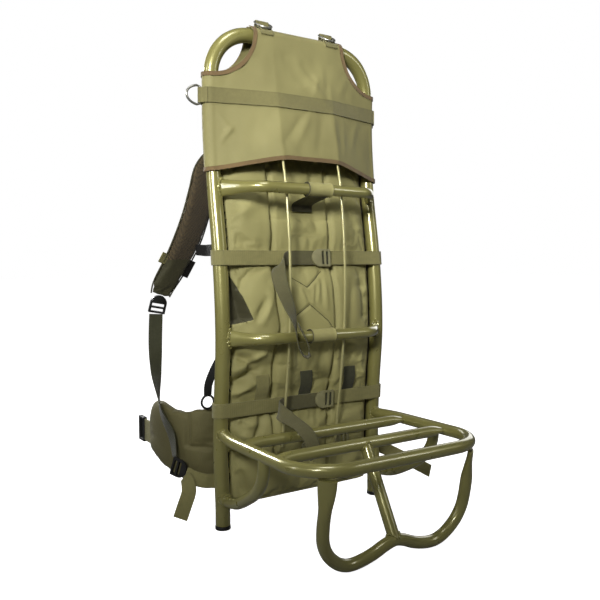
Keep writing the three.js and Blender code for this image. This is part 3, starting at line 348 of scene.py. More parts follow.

# %% [markdown]
# There are five kinds of finish. Paint is a clear coat over an olive base with a few bare chips. Cloth and
# webbing are rough, with their relief from the weave. Moulded plastic and nickel share one recipe with a
# fine grain, and the net's holes are painted dark as painted shade. Each kind is a function, because several
# shades of it are needed.

# %% Kinds of finish
def paint_finish(name, dark, light, roughness, bare):
    material, tree, shader = new_finish(name, roughness, 0.3, coat=0.9)
    shader.inputs["Coat Roughness"].default_value = 0.12
    colour, fleck = dyed_colour(tree, 9.0, dark, light)
    skin = placed(tree, peel, "Object")
    chipped = sum_of(tree, "MULTIPLY", skin["Chip"], 0.5)
    tree.links.new(mixed(tree, chipped, colour, bare), shader.inputs["Base Color"])
    roughened(tree, shader, skin["Dull"], 0.22, roughness - 0.1)
    relief(tree, shader, skin["Height"], 0.0004, 0.18)
    return material


def cloth_finish(name, dark, light, thread=0.0011):
    material, tree, shader = new_finish(name, 0.72, sheen=0.06)
    colour, fleck = dyed_colour(tree, 11.0, dark, light)
    woven = placed(tree, weave, "Object", Thread=thread)
    tree.links.new(shaded(tree, colour, woven["Shade"]), shader.inputs["Base Color"])
    roughened(tree, shader, fleck, 0.2, 0.62)
    relief(tree, shader, woven["Height"], 0.0003, 0.35)
    return material


def webbing_finish(name, dark, light, width, rib=0.0016, sheen=0.15):
    material, tree, shader = new_finish(name, 0.8, sheen=sheen)
    colour, fleck = dyed_colour(tree, 16.0, dark, light)
    laid = placed(tree, ribs, "UV", Rib=rib, Width=width)
    tree.links.new(shaded(tree, colour, laid["Shade"]), shader.inputs["Base Color"])
    roughened(tree, shader, fleck, 0.2, 0.7)
    relief(tree, shader, laid["Height"], 0.0006, 0.6)
    return material


def moulded_finish(name, dark, light, roughness, metallic=0.0):
    material, tree, shader = new_finish(name, roughness, metallic)
    colour, fleck = dyed_colour(tree, 60.0, dark, light)
    skin = placed(tree, peel, "Object", Grain=1500.0)
    tree.links.new(colour, shader.inputs["Base Color"])
    roughened(tree, shader, skin["Dull"], 0.25, roughness - 0.12)
    relief(tree, shader, skin["Height"], 0.0002, 0.25)
    return material


def net_finish(name, dark, light, cell):
    material, tree, shader = new_finish(name, 0.85, sheen=0.15)
    colour, fleck = dyed_colour(tree, 20.0, dark, light)
    knit = placed(tree, net, "Object", Cell=cell)
    # Painted shade: the net's holes are mixed to near black.
    deep = mixed(tree, knit["Hole"], colour, tint(20, 17, 12))
    tree.links.new(deep, shader.inputs["Base Color"])
    roughened(tree, shader, fleck, 0.2, 0.75)
    relief(tree, shader, knit["Height"], 0.0015, 0.8)
    return material


print("five kinds of finish")

# %% [markdown]
# Now the shades. The frame's paint is a yellowish olive, and the rods get a paler copy of it as painted
# highlight. The cover and the belt get darker copies of the panel's cloth as painted shade, the belt's much
# darker. The webbing is greener: the cover's strap gets a darker copy as painted shade, the tails are darker,
# and the darkest goes on two loops and the harness drops, and as painted shade on the turns in the locks. The
# tape is brown. Two close tones in each finish let the dye drift between them.

# %% The finishes
FLOOR_GLOW, FLOOR_BOUNCE = 0.97, 0.25
BARE_STEEL = tint(150, 145, 120)
PAINT = paint_finish("olive_paint", tint(132, 127, 71), tint(152, 147, 87), 0.3, BARE_STEEL)
# Painted highlight: the rods' paint is a paler copy of the frame's paint.
LIT_ROD_PAINT = paint_finish("rod_paint", tint(164, 158, 104), tint(190, 184, 130), 0.3, BARE_STEEL)
NICKEL = moulded_finish("dull_nickel", tint(150, 150, 140), tint(176, 175, 165), 0.36, 0.9)
CLOTH = cloth_finish("olive_pack_cloth", tint(144, 138, 86), tint(166, 160, 102))
# Painted shade: the cover's cloth is a darker copy of the panel's cloth.
SHADED_COVER_CLOTH = cloth_finish("cover_cloth_painted_shade", tint(124, 118, 72), tint(144, 138, 87))
# Painted shade: the belt's cloth is a much darker copy of the panel's cloth.
SHADED_BELT_CLOTH = cloth_finish("belt_cloth_painted_shade", tint(88, 83, 47), tint(108, 102, 60))
# The darker cloth is the real colour of the threads, the piping and the shoulder straps' lower patch, and
# painted shade on the panel's tuck and rim and on the sleeves' lips and tab.
DARK_CLOTH_AND_SHADE = cloth_finish("dark_cloth_and_painted_shade", tint(58, 56, 34), tint(74, 71, 44))
TAPE = webbing_finish("brown_binding_tape", tint(98, 78, 46), tint(124, 101, 62), 0.007, 0.0012)
WEBBING = webbing_finish("olive_webbing", tint(122, 117, 70), tint(142, 136, 84), 0.025)
# Painted shade: the cover's webbing is a darker copy of the load straps' webbing.
SHADED_COVER_WEBBING = webbing_finish("cover_webbing_painted_shade", tint(103, 98, 57), tint(122, 116, 69), 0.025)
TAIL_WEBBING = webbing_finish("tail_webbing", tint(78, 75, 44), tint(98, 94, 58), 0.025)
DARK_WEBBING = webbing_finish("dark_webbing", tint(46, 47, 25), tint(62, 62, 35), 0.025)
BLACK_WEBBING = webbing_finish("black_webbing", tint(12, 12, 11), tint(20, 20, 18), 0.02, sheen=0.0)
NET = net_finish("brown_spacer_net", tint(72, 61, 39), tint(94, 80, 52), 520.0)
BUCKLE = moulded_finish("grey_olive_plastic", tint(124, 120, 86), tint(146, 142, 104), 0.5)
BLACK = moulded_finish("black_plastic", tint(20, 20, 19), tint(32, 32, 30), 0.42)
FLOOR = moulded_finish("pale_floor", tint(236, 236, 234), tint(242, 242, 240), 0.9)
floor_shader = FLOOR.node_tree.nodes["Principled BSDF"]
floor_shader.inputs["Emission Color"].default_value = WHITE
floor_shader.inputs["Emission Strength"].default_value = FLOOR_GLOW
floor_bounce = FLOOR.node_tree.nodes.new("ShaderNodeBsdfDiffuse")
floor_bounce.inputs["Color"].default_value = (FLOOR_BOUNCE, FLOOR_BOUNCE, FLOOR_BOUNCE, 1)
seen_or_lit(FLOOR.node_tree, floor_shader, floor_bounce, "Material Output")
floor.data.materials.append(FLOOR)
print("finishes:", len(bpy.data.materials))

# %% [markdown]
# Long pieces follow tables. A smooth curve through each table's rows gives the place at any height, the
# same curve that shaped the solids, so the dressed tubes and straps lie where the solids lie.

# %% Smooth tables
def smooth_at(table, at):
    last = len(table) - 1
    row = 0
    while row < last - 1 and at > table[row + 1][0]:
        row += 1

    def slope(k):
        before, after = table[max(k - 1, 0)], table[min(k + 1, last)]
        return (after[1] - before[1]) / (after[0] - before[0])

    span = table[row + 1][0] - table[row][0]
    t = (at - table[row][0]) / span
    start = table[row][1] * (1 + 2 * t) * (1 - t) ** 2
    end = table[row + 1][1] * (3 - 2 * t) * t**2
    leave = span * slope(row) * t * (1 - t) ** 2
    arrive = span * slope(row + 1) * t**2 * (t - 1)
    return start + end + leave + arrive


UPRIGHT_PROFILE = [
    (0, 8.6), (30, 8.8), (60, 10.5), (121, 15.5), (210, 12.5),
    (326, 4.8), (457, 14), (580, 33.4), (700, 44), (850, 39),
]
ROD_PROFILE = [
    (120, -9), (158, -14), (240, -26), (322, -35), (395, -38), (475, -35),
    (571, -24.5), (625, -13), (700, 3), (780, 17.5), (833, 23.9),
]


def upright_y(z):
    return smooth_at(UPRIGHT_PROFILE, z)


def rod_y(z):
    return smooth_at(ROD_PROFILE, z)


def upright_run(z):
    return Vector((0, upright_y(z + 1) - upright_y(z - 1), 2)).normalized()


def flow(rows, step):
    far = [0.0]
    for before, after in zip(rows, rows[1:]):
        far.append(far[-1] + (Vector(after[:3]) - Vector(before[:3])).length)
    columns = [list(zip(far, values)) for values in zip(*rows)]
    count = max(2, round(far[-1] / step))
    return [[smooth_at(column, far[-1] * k / count) for column in columns] for k in range(count + 1)]


def sideways(row, hand):
    return (hand * row[0], *row[1:])


def there_and_back(half):
    return half + [sideways(row, -1) for row in reversed(half)]


print("upright at the middle crossbar: y", round(upright_y(322), 2), "mm")

# %% [markdown]
# A bent tube in a workshop is a straight one pushed round a former. Here a curve follows the same line with
# a round bevel, and is then made a mesh. A weld is a lumpy ring laid where a bar's skin meets a tube's skin.

# %% Tubes and welds
MERGE_GAP, TUBE_MERGE_GAP = 0.00002, 0.00001
WELD_STEPS = 64


def dressed(piece, nodes, finish, body="frame"):
    if finish is not None:
        piece.data.materials.clear()
        piece.data.materials.append(finish)
    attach(piece, body)
    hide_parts(*nodes)
    return piece


def smooth_shaded(piece, degrees=38):
    made_active(piece)
    bpy.ops.object.shade_smooth_by_angle(angle=math.radians(degrees))


def merged(piece, gap=MERGE_GAP, caps=False):
    made_active(piece)
    bpy.ops.object.mode_set(mode="EDIT")
    bpy.ops.mesh.select_all(action="SELECT")
    bpy.ops.mesh.remove_doubles(threshold=gap)
    if caps:
        bpy.ops.mesh.select_all(action="SELECT")
        bpy.ops.mesh.fill_holes(sides=0)
    bpy.ops.mesh.select_all(action="SELECT")
    bpy.ops.mesh.normals_make_consistent(inside=False)
    bpy.ops.object.mode_set(mode="OBJECT")


def bent_tube(name, stations, radius, sides=28, loop=False, swell=None):
    nothing_selected()
    bpy.ops.curve.primitive_bezier_curve_add()
    line = bpy.context.object
    line.data.splines.clear()
    run = line.data.splines.new("POLY")
    run.points.add(len(stations) - 1)
    for k, station in enumerate(stations):
        run.points[k].co = (*spot(*station[:3]), 1)
        if swell:
            run.points[k].radius = swell[k]
    run.use_cyclic_u = loop
    line.data.dimensions = "3D"
    line.data.bevel_depth = radius * MM
    line.data.bevel_resolution = (sides - 4) // 2
    line.data.use_fill_caps = not loop
    bpy.ops.object.convert(target="MESH")
    tube = bpy.context.object
    tube.name = tube.data.name = name
    merged(tube, TUBE_MERGE_GAP)
    smooth_shaded(tube)
    return tube


def weld(heart, run, radius, tube_run, tube_radius, seed, bead=1.7, tall=None):
    chance = random.Random(seed)
    run, tube_run = Vector(run).normalized(), Vector(tube_run).normalized()
    across = tube_run.cross(run).normalized()
    up = run.cross(across)
    ring, swell = [], []
    for k in range(WELD_STEPS):
        turn = math.tau * k / WELD_STEPS
        aside = (radius + 0.5) * math.cos(turn)
        reach = math.sqrt(max((tube_radius + 0.2) ** 2 - aside**2, 1.0))
        rise = ((tall or radius) + 0.5) * math.sin(turn)
        middle = Vector(heart) + across * aside + up * rise + run * reach
        ring.append(tuple(middle))
        swell.append(1 + 0.28 * math.sin(k * math.tau / 5) + chance.uniform(-0.18, 0.22))
    return bent_tube("weld", ring, bead, 8, loop=True, swell=swell)


def joined(name, pieces):
    nothing_selected()
    for piece in pieces:
        piece.select_set(True)
    bpy.context.view_layer.objects.active = pieces[0]
    if len(pieces) > 1:
        bpy.ops.object.join()
    whole = bpy.context.view_layer.objects.active
    whole.name = whole.data.name = name
    return whole


def apply_modifier(piece, kind, **values):
    made_active(piece)
    change = piece.modifiers.new(kind.lower(), kind)
    for label, value in values.items():
        setattr(change, label, value)
    bpy.ops.object.modifier_apply(modifier=change.name)


def cut_with(piece, tool):
    apply_modifier(piece, "BOOLEAN", object=tool, operation="DIFFERENCE", solver="EXACT")
    bpy.data.objects.remove(tool)


print("helpers for tubes and welds are ready")

# %% [markdown]
# The main tube is bent to a tall hoop, and each open end is shut by a black plastic foot that a cross pin
# holds. The hoop is one tube along its measured line, with the pin's hole bored through both legs at once.
# Each foot starts as a cylinder and gets its edges rounded in edit mode.

# %% Hoop and feet
HALF_WIDTH = 162.5
HOOP_RADIUS = 12.5
HOOP_TOP = 833
HOOP_CORNER = 73
FOOT_HEIGHT = 6
FOOT_RADIUS = 13.2
PIN_Z, PIN_RADIUS, PIN_LENGTH = 28, 2.2, 500
FOOT_EDGE = 1.1


def arc(radius, steps):
    turns = [math.pi / 2 * k / steps for k in range(steps + 1)]
    return [(radius * (1 - math.cos(turn)), radius * (1 - math.sin(turn))) for turn in turns]


hoop_half = [(-HALF_WIDTH, upright_y(z), z) for z in range(7, HOOP_TOP - HOOP_CORNER, 12)]
for inward, down in arc(HOOP_CORNER, 20):
    hoop_half.append((inward - HALF_WIDTH, upright_y(HOOP_TOP - down), HOOP_TOP - down))
hoop = bent_tube("hoop_tube", there_and_back(hoop_half), HOOP_RADIUS, 40)
nothing_selected()
bpy.ops.mesh.primitive_cylinder_add(
    vertices=24, radius=PIN_RADIUS * MM, depth=PIN_LENGTH * MM,
    location=spot(0, upright_y(PIN_Z), PIN_Z), rotation=(0, math.pi / 2, 0),
)
cut_with(hoop, bpy.context.object)
dressed(hoop, ["main_hoop"], PAINT)

for side, hand in SIDES:
    nothing_selected()
    bpy.ops.mesh.primitive_cylinder_add(
        vertices=40, radius=FOOT_RADIUS * MM, depth=FOOT_HEIGHT * MM,
        location=spot(hand * HALF_WIDTH, upright_y(0), FOOT_HEIGHT / 2),
    )
    foot = bpy.context.object
    foot.name = foot.data.name = side + "_foot_plug"
    bpy.ops.object.transform_apply(location=True, rotation=False, scale=False)
    bpy.ops.object.mode_set(mode="EDIT")
    bpy.ops.mesh.select_all(action="SELECT")
    bpy.ops.mesh.bevel(offset=FOOT_EDGE * MM, segments=3)
    bpy.ops.object.mode_set(mode="OBJECT")
    smooth_shaded(foot)
    dressed(foot, [side + "_foot_cap"], BLACK)
print("hoop of", len(hoop.data.polygons), "faces, with two pinned feet")

# %% [markdown]
# The crossbars, the shelf's bars and the stand have their ends pressed flat before welding. A pressed end
# can't come from a round bevel, so those tubes are a grid rolled up through oval rings of changing width.

# %% Rolled grids
def lay_grid(name, across, along, place, metres=(1.0, 1.0)):
    nothing_selected()
    bpy.ops.mesh.primitive_grid_add(x_subdivisions=across, y_subdivisions=along, size=1)
    piece = bpy.context.object
    piece.name = piece.data.name = name
    shares = [(v.co.x + 0.5, v.co.y + 0.5) for v in piece.data.vertices]
    for vertex, (s, t) in zip(piece.data.vertices, shares):
        vertex.co = place(s, t)
    chart = piece.data.uv_layers.active.data
    for corner in piece.data.loops:
        s, t = shares[corner.vertex_index]
        chart[corner.index].uv = (s * metres[0], t * metres[1])
    return piece


def rolled(name, rings):
    along, across = len(rings) - 1, len(rings[0])

    def place(s, t):
        return spot(*rings[round(t * along)][round(s * across) % across])

    piece = lay_grid(name, across, along, place)
    merged(piece, caps=True)
    smooth_shaded(piece)
    return piece


def side_and_face(path, k, across):
    before, after = path[max(k - 1, 0)], path[min(k + 1, len(path) - 1)]
    run = (Vector(after[:3]) - Vector(before[:3])).normalized()
    across = Vector(across)
    side = (across - run * across.dot(run)).normalized()
    return side, run.cross(side)


def oval(middle, side, face, wide, deep, sides=28):
    turns = [math.tau * k / sides for k in range(sides)]
    return [Vector(middle) + side * (wide * math.cos(t)) + face * (deep * math.sin(t)) for t in turns]


def bowed(value, power):
    return math.copysign(abs(value) ** power, value)


print("helpers for rolled grids are ready")

# %% [markdown]
# The crossbars leave the uprights at a slant and then bend along the frame. Two thin rods run behind them
# from a hidden low bar to the top run, and the cover later stretches over their upper ends.

# %% Crossbars and rods
BAR_RADIUS = 9.5
ROD_X, ROD_RADIUS = 57, 2.3
ROD_BOTTOM, ROD_TOP = 128, 831
UPPER_BAR_Z, MIDDLE_BAR_Z, LOWER_BAR_Z = 571, 322, 138
LOWER_BAR_RADIUS = 5
ROD_GAP = 0.3
BAR_END = [
    (0, 0, 15.5, 5.5), (7, 0.1, 15, 5.8), (20, 0.38, 12, 7.4),
    (36, 0.7, 9.8, 9.2), (50, 0.9, 9.5, 9.5), (66, 1, 9.5, 9.5),
]
BAR_BEAD, BAR_WELD_WIDE, BAR_WELD_TALL = 2.3, 5.6, 15


def bar_y(z):
    return rod_y(z) - ROD_RADIUS - ROD_GAP - BAR_RADIUS


def crossbar(name, z, y, radius, node, seed):
    reach = y - upright_y(z)
    size = radius / BAR_RADIUS
    half = [
        (inset - HALF_WIDTH, upright_y(z) + reach * share, z, tall * size, deep * size)
        for inset, share, tall, deep in BAR_END
    ]
    path = flow(there_and_back(half), 3)
    rings = []
    for k, row in enumerate(path):
        side_way, face_way = side_and_face(path, k, (0, 0, 1))
        rings.append(oval(row[:3], side_way, face_way, *row[3:], 32))
    bar = rolled(name, rings)
    beads = []
    inset, share = BAR_END[2][:2]
    for hand in (-1, 1):
        heart = (hand * HALF_WIDTH, upright_y(z), z)
        ahead = (-hand * inset, reach * share, 0)
        beads.append(weld(
            heart, ahead, BAR_WELD_WIDE * size, upright_run(z), HOOP_RADIUS, seed + hand,
            BAR_BEAD * size, BAR_WELD_TALL * size,
        ))
    return dressed(joined(name, [bar, *beads]), [node], PAINT)


crossbar("upper_bar", UPPER_BAR_Z, bar_y(UPPER_BAR_Z), BAR_RADIUS, "upper_crossbar", 11)
crossbar("middle_bar", MIDDLE_BAR_Z, bar_y(MIDDLE_BAR_Z), BAR_RADIUS, "middle_crossbar", 21)
low_y = rod_y(LOWER_BAR_Z) + ROD_RADIUS + ROD_GAP + LOWER_BAR_RADIUS
crossbar("low_bar", LOWER_BAR_Z, low_y, LOWER_BAR_RADIUS, "lower_crossbar", 31)
for side, hand in SIDES:
    rod_line = [(hand * ROD_X, rod_y(z), z) for z in np.linspace(ROD_BOTTOM, ROD_TOP, 90)]
    rod = bent_tube(side + "_thin_rod", rod_line, ROD_RADIUS, 16)
    dressed(rod, [side + "_rod"], LIT_ROD_PAINT)
print("three crossbars and two rods")

# %% [markdown]
# The shelf is a U-shaped rail that leaves the uprights with a slight spread, and two bars between its sides.
# The rail keeps its round section, so a bevelled curve is enough. The bars' ends are pressed flat against the
# rail, so they are rolled grids, and their weld beads are squeezed to the same flat shape.

# %% Shelf
RAIL_RADIUS = 10
SHELF_Z, SHELF_SLOPE = 159, -0.0125
SHELF_FRONT, SHELF_HALF, SHELF_CORNER = -268, 171.5, 72
RAIL_WELD_Z = 160
RAIL_END = [(0, 8), (1.5, -8), (5, -24), (8, -42), (9, -62)]
BAR_WIDE = [(0, 11.5), (12, 11), (24, 10), (36, 9.5), (60, 9.5)]
BAR_DEEP = [(0, 5), (12, 6), (24, 8.6), (36, 9.5), (60, 9.5)]
REAR_BAR_Y, FRONT_BAR_Y = -66, -168
BAR_INSETS = [*range(2, 42, 3), 60, 120]
SHELF_BEAD, SHELF_WELD_WIDE, SHELF_WELD_SINK, SHELF_WELD_FLAT = 2.6, 10.5, 3.2, 0.52


def shelf_z(y):
    return SHELF_Z + SHELF_SLOPE * y


rail_half = flow([(-HALF_WIDTH - out, y, shelf_z(y)) for out, y in RAIL_END], 4)
rail_half += [(-SHELF_HALF, y, shelf_z(y)) for y in range(-70, SHELF_FRONT + SHELF_CORNER, -12)]
for inward, back in arc(SHELF_CORNER, 18):
    rail_half.append((inward - SHELF_HALF, SHELF_FRONT + back, shelf_z(SHELF_FRONT + back)))
rail = bent_tube("shelf_tube", there_and_back([tuple(row) for row in rail_half]), RAIL_RADIUS, 36)
rail_welds = []
for hand in (-1, 1):
    heart = (hand * HALF_WIDTH, upright_y(RAIL_WELD_Z), shelf_z(0))
    rail_welds.append(
        weld(heart, (0, -1, 0), RAIL_RADIUS, upright_run(RAIL_WELD_Z), HOOP_RADIUS, 41 + hand)
    )
dressed(joined("shelf_tube", [rail, *rail_welds]), ["shelf_rail"], PAINT)

for name, node, y, seed in (
    ("rear_bar", "rear_shelf_bar", REAR_BAR_Y, 51), ("front_bar", "front_shelf_bar", FRONT_BAR_Y, 61)
):
    rings = []
    for inset in BAR_INSETS:
        size = min(inset, 59)
        middle = (inset - SHELF_HALF, y, shelf_z(y))
        wide, deep = smooth_at(BAR_WIDE, size), smooth_at(BAR_DEEP, size)
        rings.append(oval(middle, Vector((0, 1, 0)), Vector((0, 0, 1)), wide, deep))
    rings += [[Vector((-p.x, p.y, p.z)) for p in ring] for ring in reversed(rings)]
    bar = rolled(name, rings)
    beads = []
    for hand in (-1, 1):
        beads.append(weld(
            (hand * SHELF_HALF, y, shelf_z(y)), (-hand, 0, 0), SHELF_WELD_WIDE, (0, 1, 0),
            RAIL_RADIUS - SHELF_WELD_SINK, seed + hand, SHELF_BEAD,
        ))
    for bead in beads:
        for vertex in bead.data.vertices:
            vertex.co.z = shelf_z(y) * MM + (vertex.co.z - shelf_z(y) * MM) * SHELF_WELD_FLAT
    dressed(joined(name, [bar, *beads]), [node], PAINT)
print("a rail and two flattened bars")

# %% [markdown]
# Two struts prop the shelf from the feet of the uprights, each in a short collar. The stand is one tube bent
# to a W under the shelf's front edge, with its ends pressed flat, and a brace holds its middle.

# %% Struts, stand and brace
STRUT = [
    (0, 8, 51), (0, -20, 53), (1, -48, 60), (3, -84, 78),
    (5, -113, 96), (7, -132, 115), (8.5, -142, 135), (9, -145, 158),
]
STRUT_Z, STRUT_BEAD = 53, 1.3
COLLAR_RADIUS, COLLAR_END = 11, -11
STAND_Y, STAND_LEAN = -236, -0.17
STAND_HALF = [
    (139, 150.5, 14, 4.5), (138.5, 138, 13.6, 5), (138, 122, 12, 7), (138, 106, 9.8, 9.2),
]
STAND_BEND = [
    (138, 78), (135, 56), (125, 36), (108, 19.5), (92, 11.5), (78, 9.5), (60, 11.5), (38, 17.5), (18, 26),
]
STAND_HALF += [(x, z, BAR_RADIUS, BAR_RADIUS) for x, z in STAND_BEND]
STAND_MIDDLE = 30
STAND_TURN = math.sqrt(0.5)


def stand_y(z):
    return STAND_Y + STAND_LEAN * z


for side, hand in SIDES:
    line = flow([(hand * (HALF_WIDTH + out), y, z) for out, y, z in STRUT], 4)
    strut = bent_tube(side + "_prop", line, BAR_RADIUS, 32)
    heart = (hand * HALF_WIDTH, upright_y(STRUT_Z), STRUT_Z)
    ends = [heart] + [(heart[0], COLLAR_END + back, STRUT_Z) for back in (1.2, 0.4, 0)]
    collar = bent_tube("collar", ends, COLLAR_RADIUS, 36, swell=[1, 1, 0.97, 0.91])
    bead = weld(heart, (0, -1, 0), COLLAR_RADIUS, upright_run(STRUT_Z), HOOP_RADIUS, 71 + hand, STRUT_BEAD)
    dressed(joined(side + "_prop", [strut, collar, bead]), [side + "_strut"], PAINT)

stand_rows = [(-x, stand_y(z), z, STAND_TURN, wide, deep) for x, z, wide, deep in STAND_HALF]
stand_rows.append((0, stand_y(STAND_MIDDLE), STAND_MIDDLE, 0, BAR_RADIUS, BAR_RADIUS))
stand_rows += [(-row[0], row[1], row[2], -row[3], row[4], row[5]) for row in reversed(stand_rows[:-1])]
stand_path = flow(stand_rows, 4)
stand_rings = []
for k, (x, y, z, turn, wide, deep) in enumerate(stand_path):
    side_way, face_way = side_and_face(stand_path, k, (turn, -STAND_TURN, 0))
    stand_rings.append(oval((x, y, z), side_way, face_way, wide, deep, 32))
stand = rolled("stand_tube", stand_rings)
dressed(stand, ["stand_loop"], PAINT)

brace_from = Vector((0, FRONT_BAR_Y, shelf_z(FRONT_BAR_Y)))
brace_to = Vector((0, stand_y(STAND_MIDDLE), STAND_MIDDLE))
brace_line = [tuple(brace_from.lerp(brace_to, k / 20)) for k in range(21)]
brace = bent_tube("brace_tube", brace_line, BAR_RADIUS, 32)
brace_run = brace_to - brace_from
beads = [
    weld(end, run, BAR_RADIUS, (1, 0, 0), BAR_RADIUS, seed)
    for end, run, seed in ((brace_from, brace_run, 81), (brace_to, -brace_run, 82))
]
dressed(joined("brace_tube", [brace, *beads]), ["stand_brace"], PAINT)
print("struts, stand and brace")

# %% [markdown]
# Webbing is a flat band that bends easily one way only. A grid is laid along the strap's line with its width
# kept along a given direction, its UV map in metres so the ribs follow the band, and then it gets its wall.

# %% Straps
WEB_WALL = 1.6
WEB_WIDTH = 25
WEB_COLUMNS = 6
WEB_EDGE = 0.4


def walled(piece, wall, degrees=50):
    apply_modifier(piece, "SOLIDIFY", thickness=wall * MM, offset=0)
    smooth_shaded(piece, degrees)


def rounded_edges(piece, width, segments):
    apply_modifier(piece, "BEVEL", width=width * MM, segments=segments, limit_method="ANGLE")


def band(name, path, width=WEB_WIDTH, wall=WEB_WALL):
    along = len(path) - 1
    sides = [side_and_face(path, k, row[3:6])[0] for k, row in enumerate(path)]
    far = sum((Vector(b[:3]) - Vector(a[:3])).length for a, b in zip(path, path[1:])) * MM

    def place(s, t):
        k = round(t * along)
        return spot(*(Vector(path[k][:3]) + sides[k] * ((s - 0.5) * width)))

    piece = lay_grid(name, WEB_COLUMNS, along, place, (width * MM, far))
    apply_modifier(piece, "SOLIDIFY", thickness=wall * MM, offset=0)
    rounded_edges(piece, WEB_EDGE, 2)
    smooth_shaded(piece, 50)
    return piece


WRAP_LIFT = 14.2
WRAP_LEVELS = {"upper": 455, "lower": 201}


def wrap_path(z):
    up = tuple(upright_run(z))
    half = []
    for turn in range(58, 271, 8):
        out, back = math.cos(math.radians(turn)), math.sin(math.radians(turn))
        half.append((WRAP_LIFT * out - HALF_WIDTH, upright_y(z) + WRAP_LIFT * back, z, *up))
    half.append((-HALF_WIDTH, upright_y(z) - WRAP_LIFT, z, *up))
    half += [(x, upright_y(z) - WRAP_LIFT, z, *up) for x in range(-156, -1, 12)]
    return there_and_back(half)


for level, z in WRAP_LEVELS.items():
    strap = band(level + "_load_strap", wrap_path(z))
    dressed(strap, [level + "_wrap_strap"], WEBBING)
print("two load straps round the uprights")

# %% [markdown]
# A ladder lock is a moulded plate with a round thumb tab and two slots. It starts as a filled circle whose
# right half is pressed straight and moved out, then it is pulled to its thickness, slotted and rounded. All
# the locks are copies of this one, each with a mesh of its own.

# %% Ladder locks
LOCK_BAR, LOCK_SLOT, LOCK_EDGE = 3.4, 5.8, 0.7
LOCK_SIZE = (38, 31, 4)
LOCK_TURN_WIDE, LOCK_TURN_WALL = 22, 0.8
STRAP_GAP = 0.3


def points_selected(piece, test):
    bpy.ops.object.mode_set(mode="EDIT")
    bpy.ops.mesh.select_mode(type="VERT")
    bpy.ops.mesh.select_all(action="DESELECT")
    bpy.ops.object.mode_set(mode="OBJECT")
    for vertex in piece.data.vertices:
        vertex.select = test(vertex.co)
    bpy.ops.object.mode_set(mode="EDIT")


def lock_plate(name, length, height, thick):
    half = height / 2 * MM
    nothing_selected()
    bpy.ops.mesh.primitive_circle_add(vertices=48, radius=half, fill_type="NGON")
    plate = bpy.context.object
    plate.name = plate.data.name = name
    points_selected(plate, lambda co: co.x > 0.00001)
    bpy.ops.transform.resize(value=(0, 1, 1), center_override=(0, 0, 0))
    bpy.ops.object.mode_set(mode="OBJECT")
    for vertex in plate.data.vertices:
        right = vertex.co.x > -0.00001
        vertex.co.x += (length / 2 * MM if right else half - length / 2 * MM)
    bpy.ops.object.mode_set(mode="EDIT")
    bpy.ops.mesh.select_all(action="SELECT")
    bpy.ops.mesh.extrude_region_move(TRANSFORM_OT_translate={"value": (0, 0, thick * MM)})
    bpy.ops.mesh.select_all(action="SELECT")
    bpy.ops.mesh.normals_make_consistent(inside=False)
    bpy.ops.object.mode_set(mode="OBJECT")
    for step in (0, 1):
        x = length / 2 - LOCK_BAR - LOCK_SLOT / 2 - step * (LOCK_BAR + LOCK_SLOT)
        nothing_selected()
        bpy.ops.mesh.primitive_cube_add(size=1, location=(x * MM, 0, 0))
        slot = bpy.context.object
        slot.scale = (LOCK_SLOT * MM, (height - 2 * LOCK_BAR) * MM, 3 * thick * MM)
        cut_with(plate, slot)
    rounded_edges(plate, LOCK_EDGE, 3)
    smooth_shaded(plate, 45)
    return plate


def set_plate(plate, middle, lengthwise, facing):
    lengthwise, facing = Vector(lengthwise).normalized(), Vector(facing).normalized()
    upright = facing.cross(lengthwise).normalized()
    turn = Matrix((lengthwise, upright, facing)).transposed().to_4x4()
    plate.data.transform(Matrix.Translation(spot(*middle)) @ turn)
    return plate


LOCK_X = {"upper": 28, "lower": 35}


def wrap_front(z):
    return upright_y(z) - WRAP_LIFT - WEB_WALL / 2 - STRAP_GAP


for level, z in WRAP_LEVELS.items():
    lock = lock_plate(level + "_lock_plate", *LOCK_SIZE)
    facing = Vector((1, 0, 0)).cross(upright_run(z))
    front = wrap_front(z) - WEB_WALL
    set_plate(lock, (LOCK_X[level], front - STRAP_GAP, z), (1, 0, 0), facing)
    lock.data.materials.append(BUCKLE)
    # Painted shade: a dark turn of strap behind the slots stands for the shade inside them.
    turned = [(LOCK_X[level] + x, front - 1.2, z, *upright_run(z)) for x in (-3, 8, 17)]
    painted_shade_turn = band("turn", turned, LOCK_TURN_WIDE, LOCK_TURN_WALL)
    painted_shade_turn.data.materials.append(DARK_WEBBING)
    dressed(joined(level + "_lock_plate", [lock, painted_shade_turn]), [level + "_ladder_lock"], None)
print("two ladder locks, each with its turn of strap")

# %% [markdown]
# Each load strap's free end comes out of its lock and hangs. Webbing twists as it hangs, so every row of its
# table gives a place and the direction of the band's width there. The upper end is sewn back on itself, so
# its line closes to a teardrop, and the lower one falls over the shelf's bar.

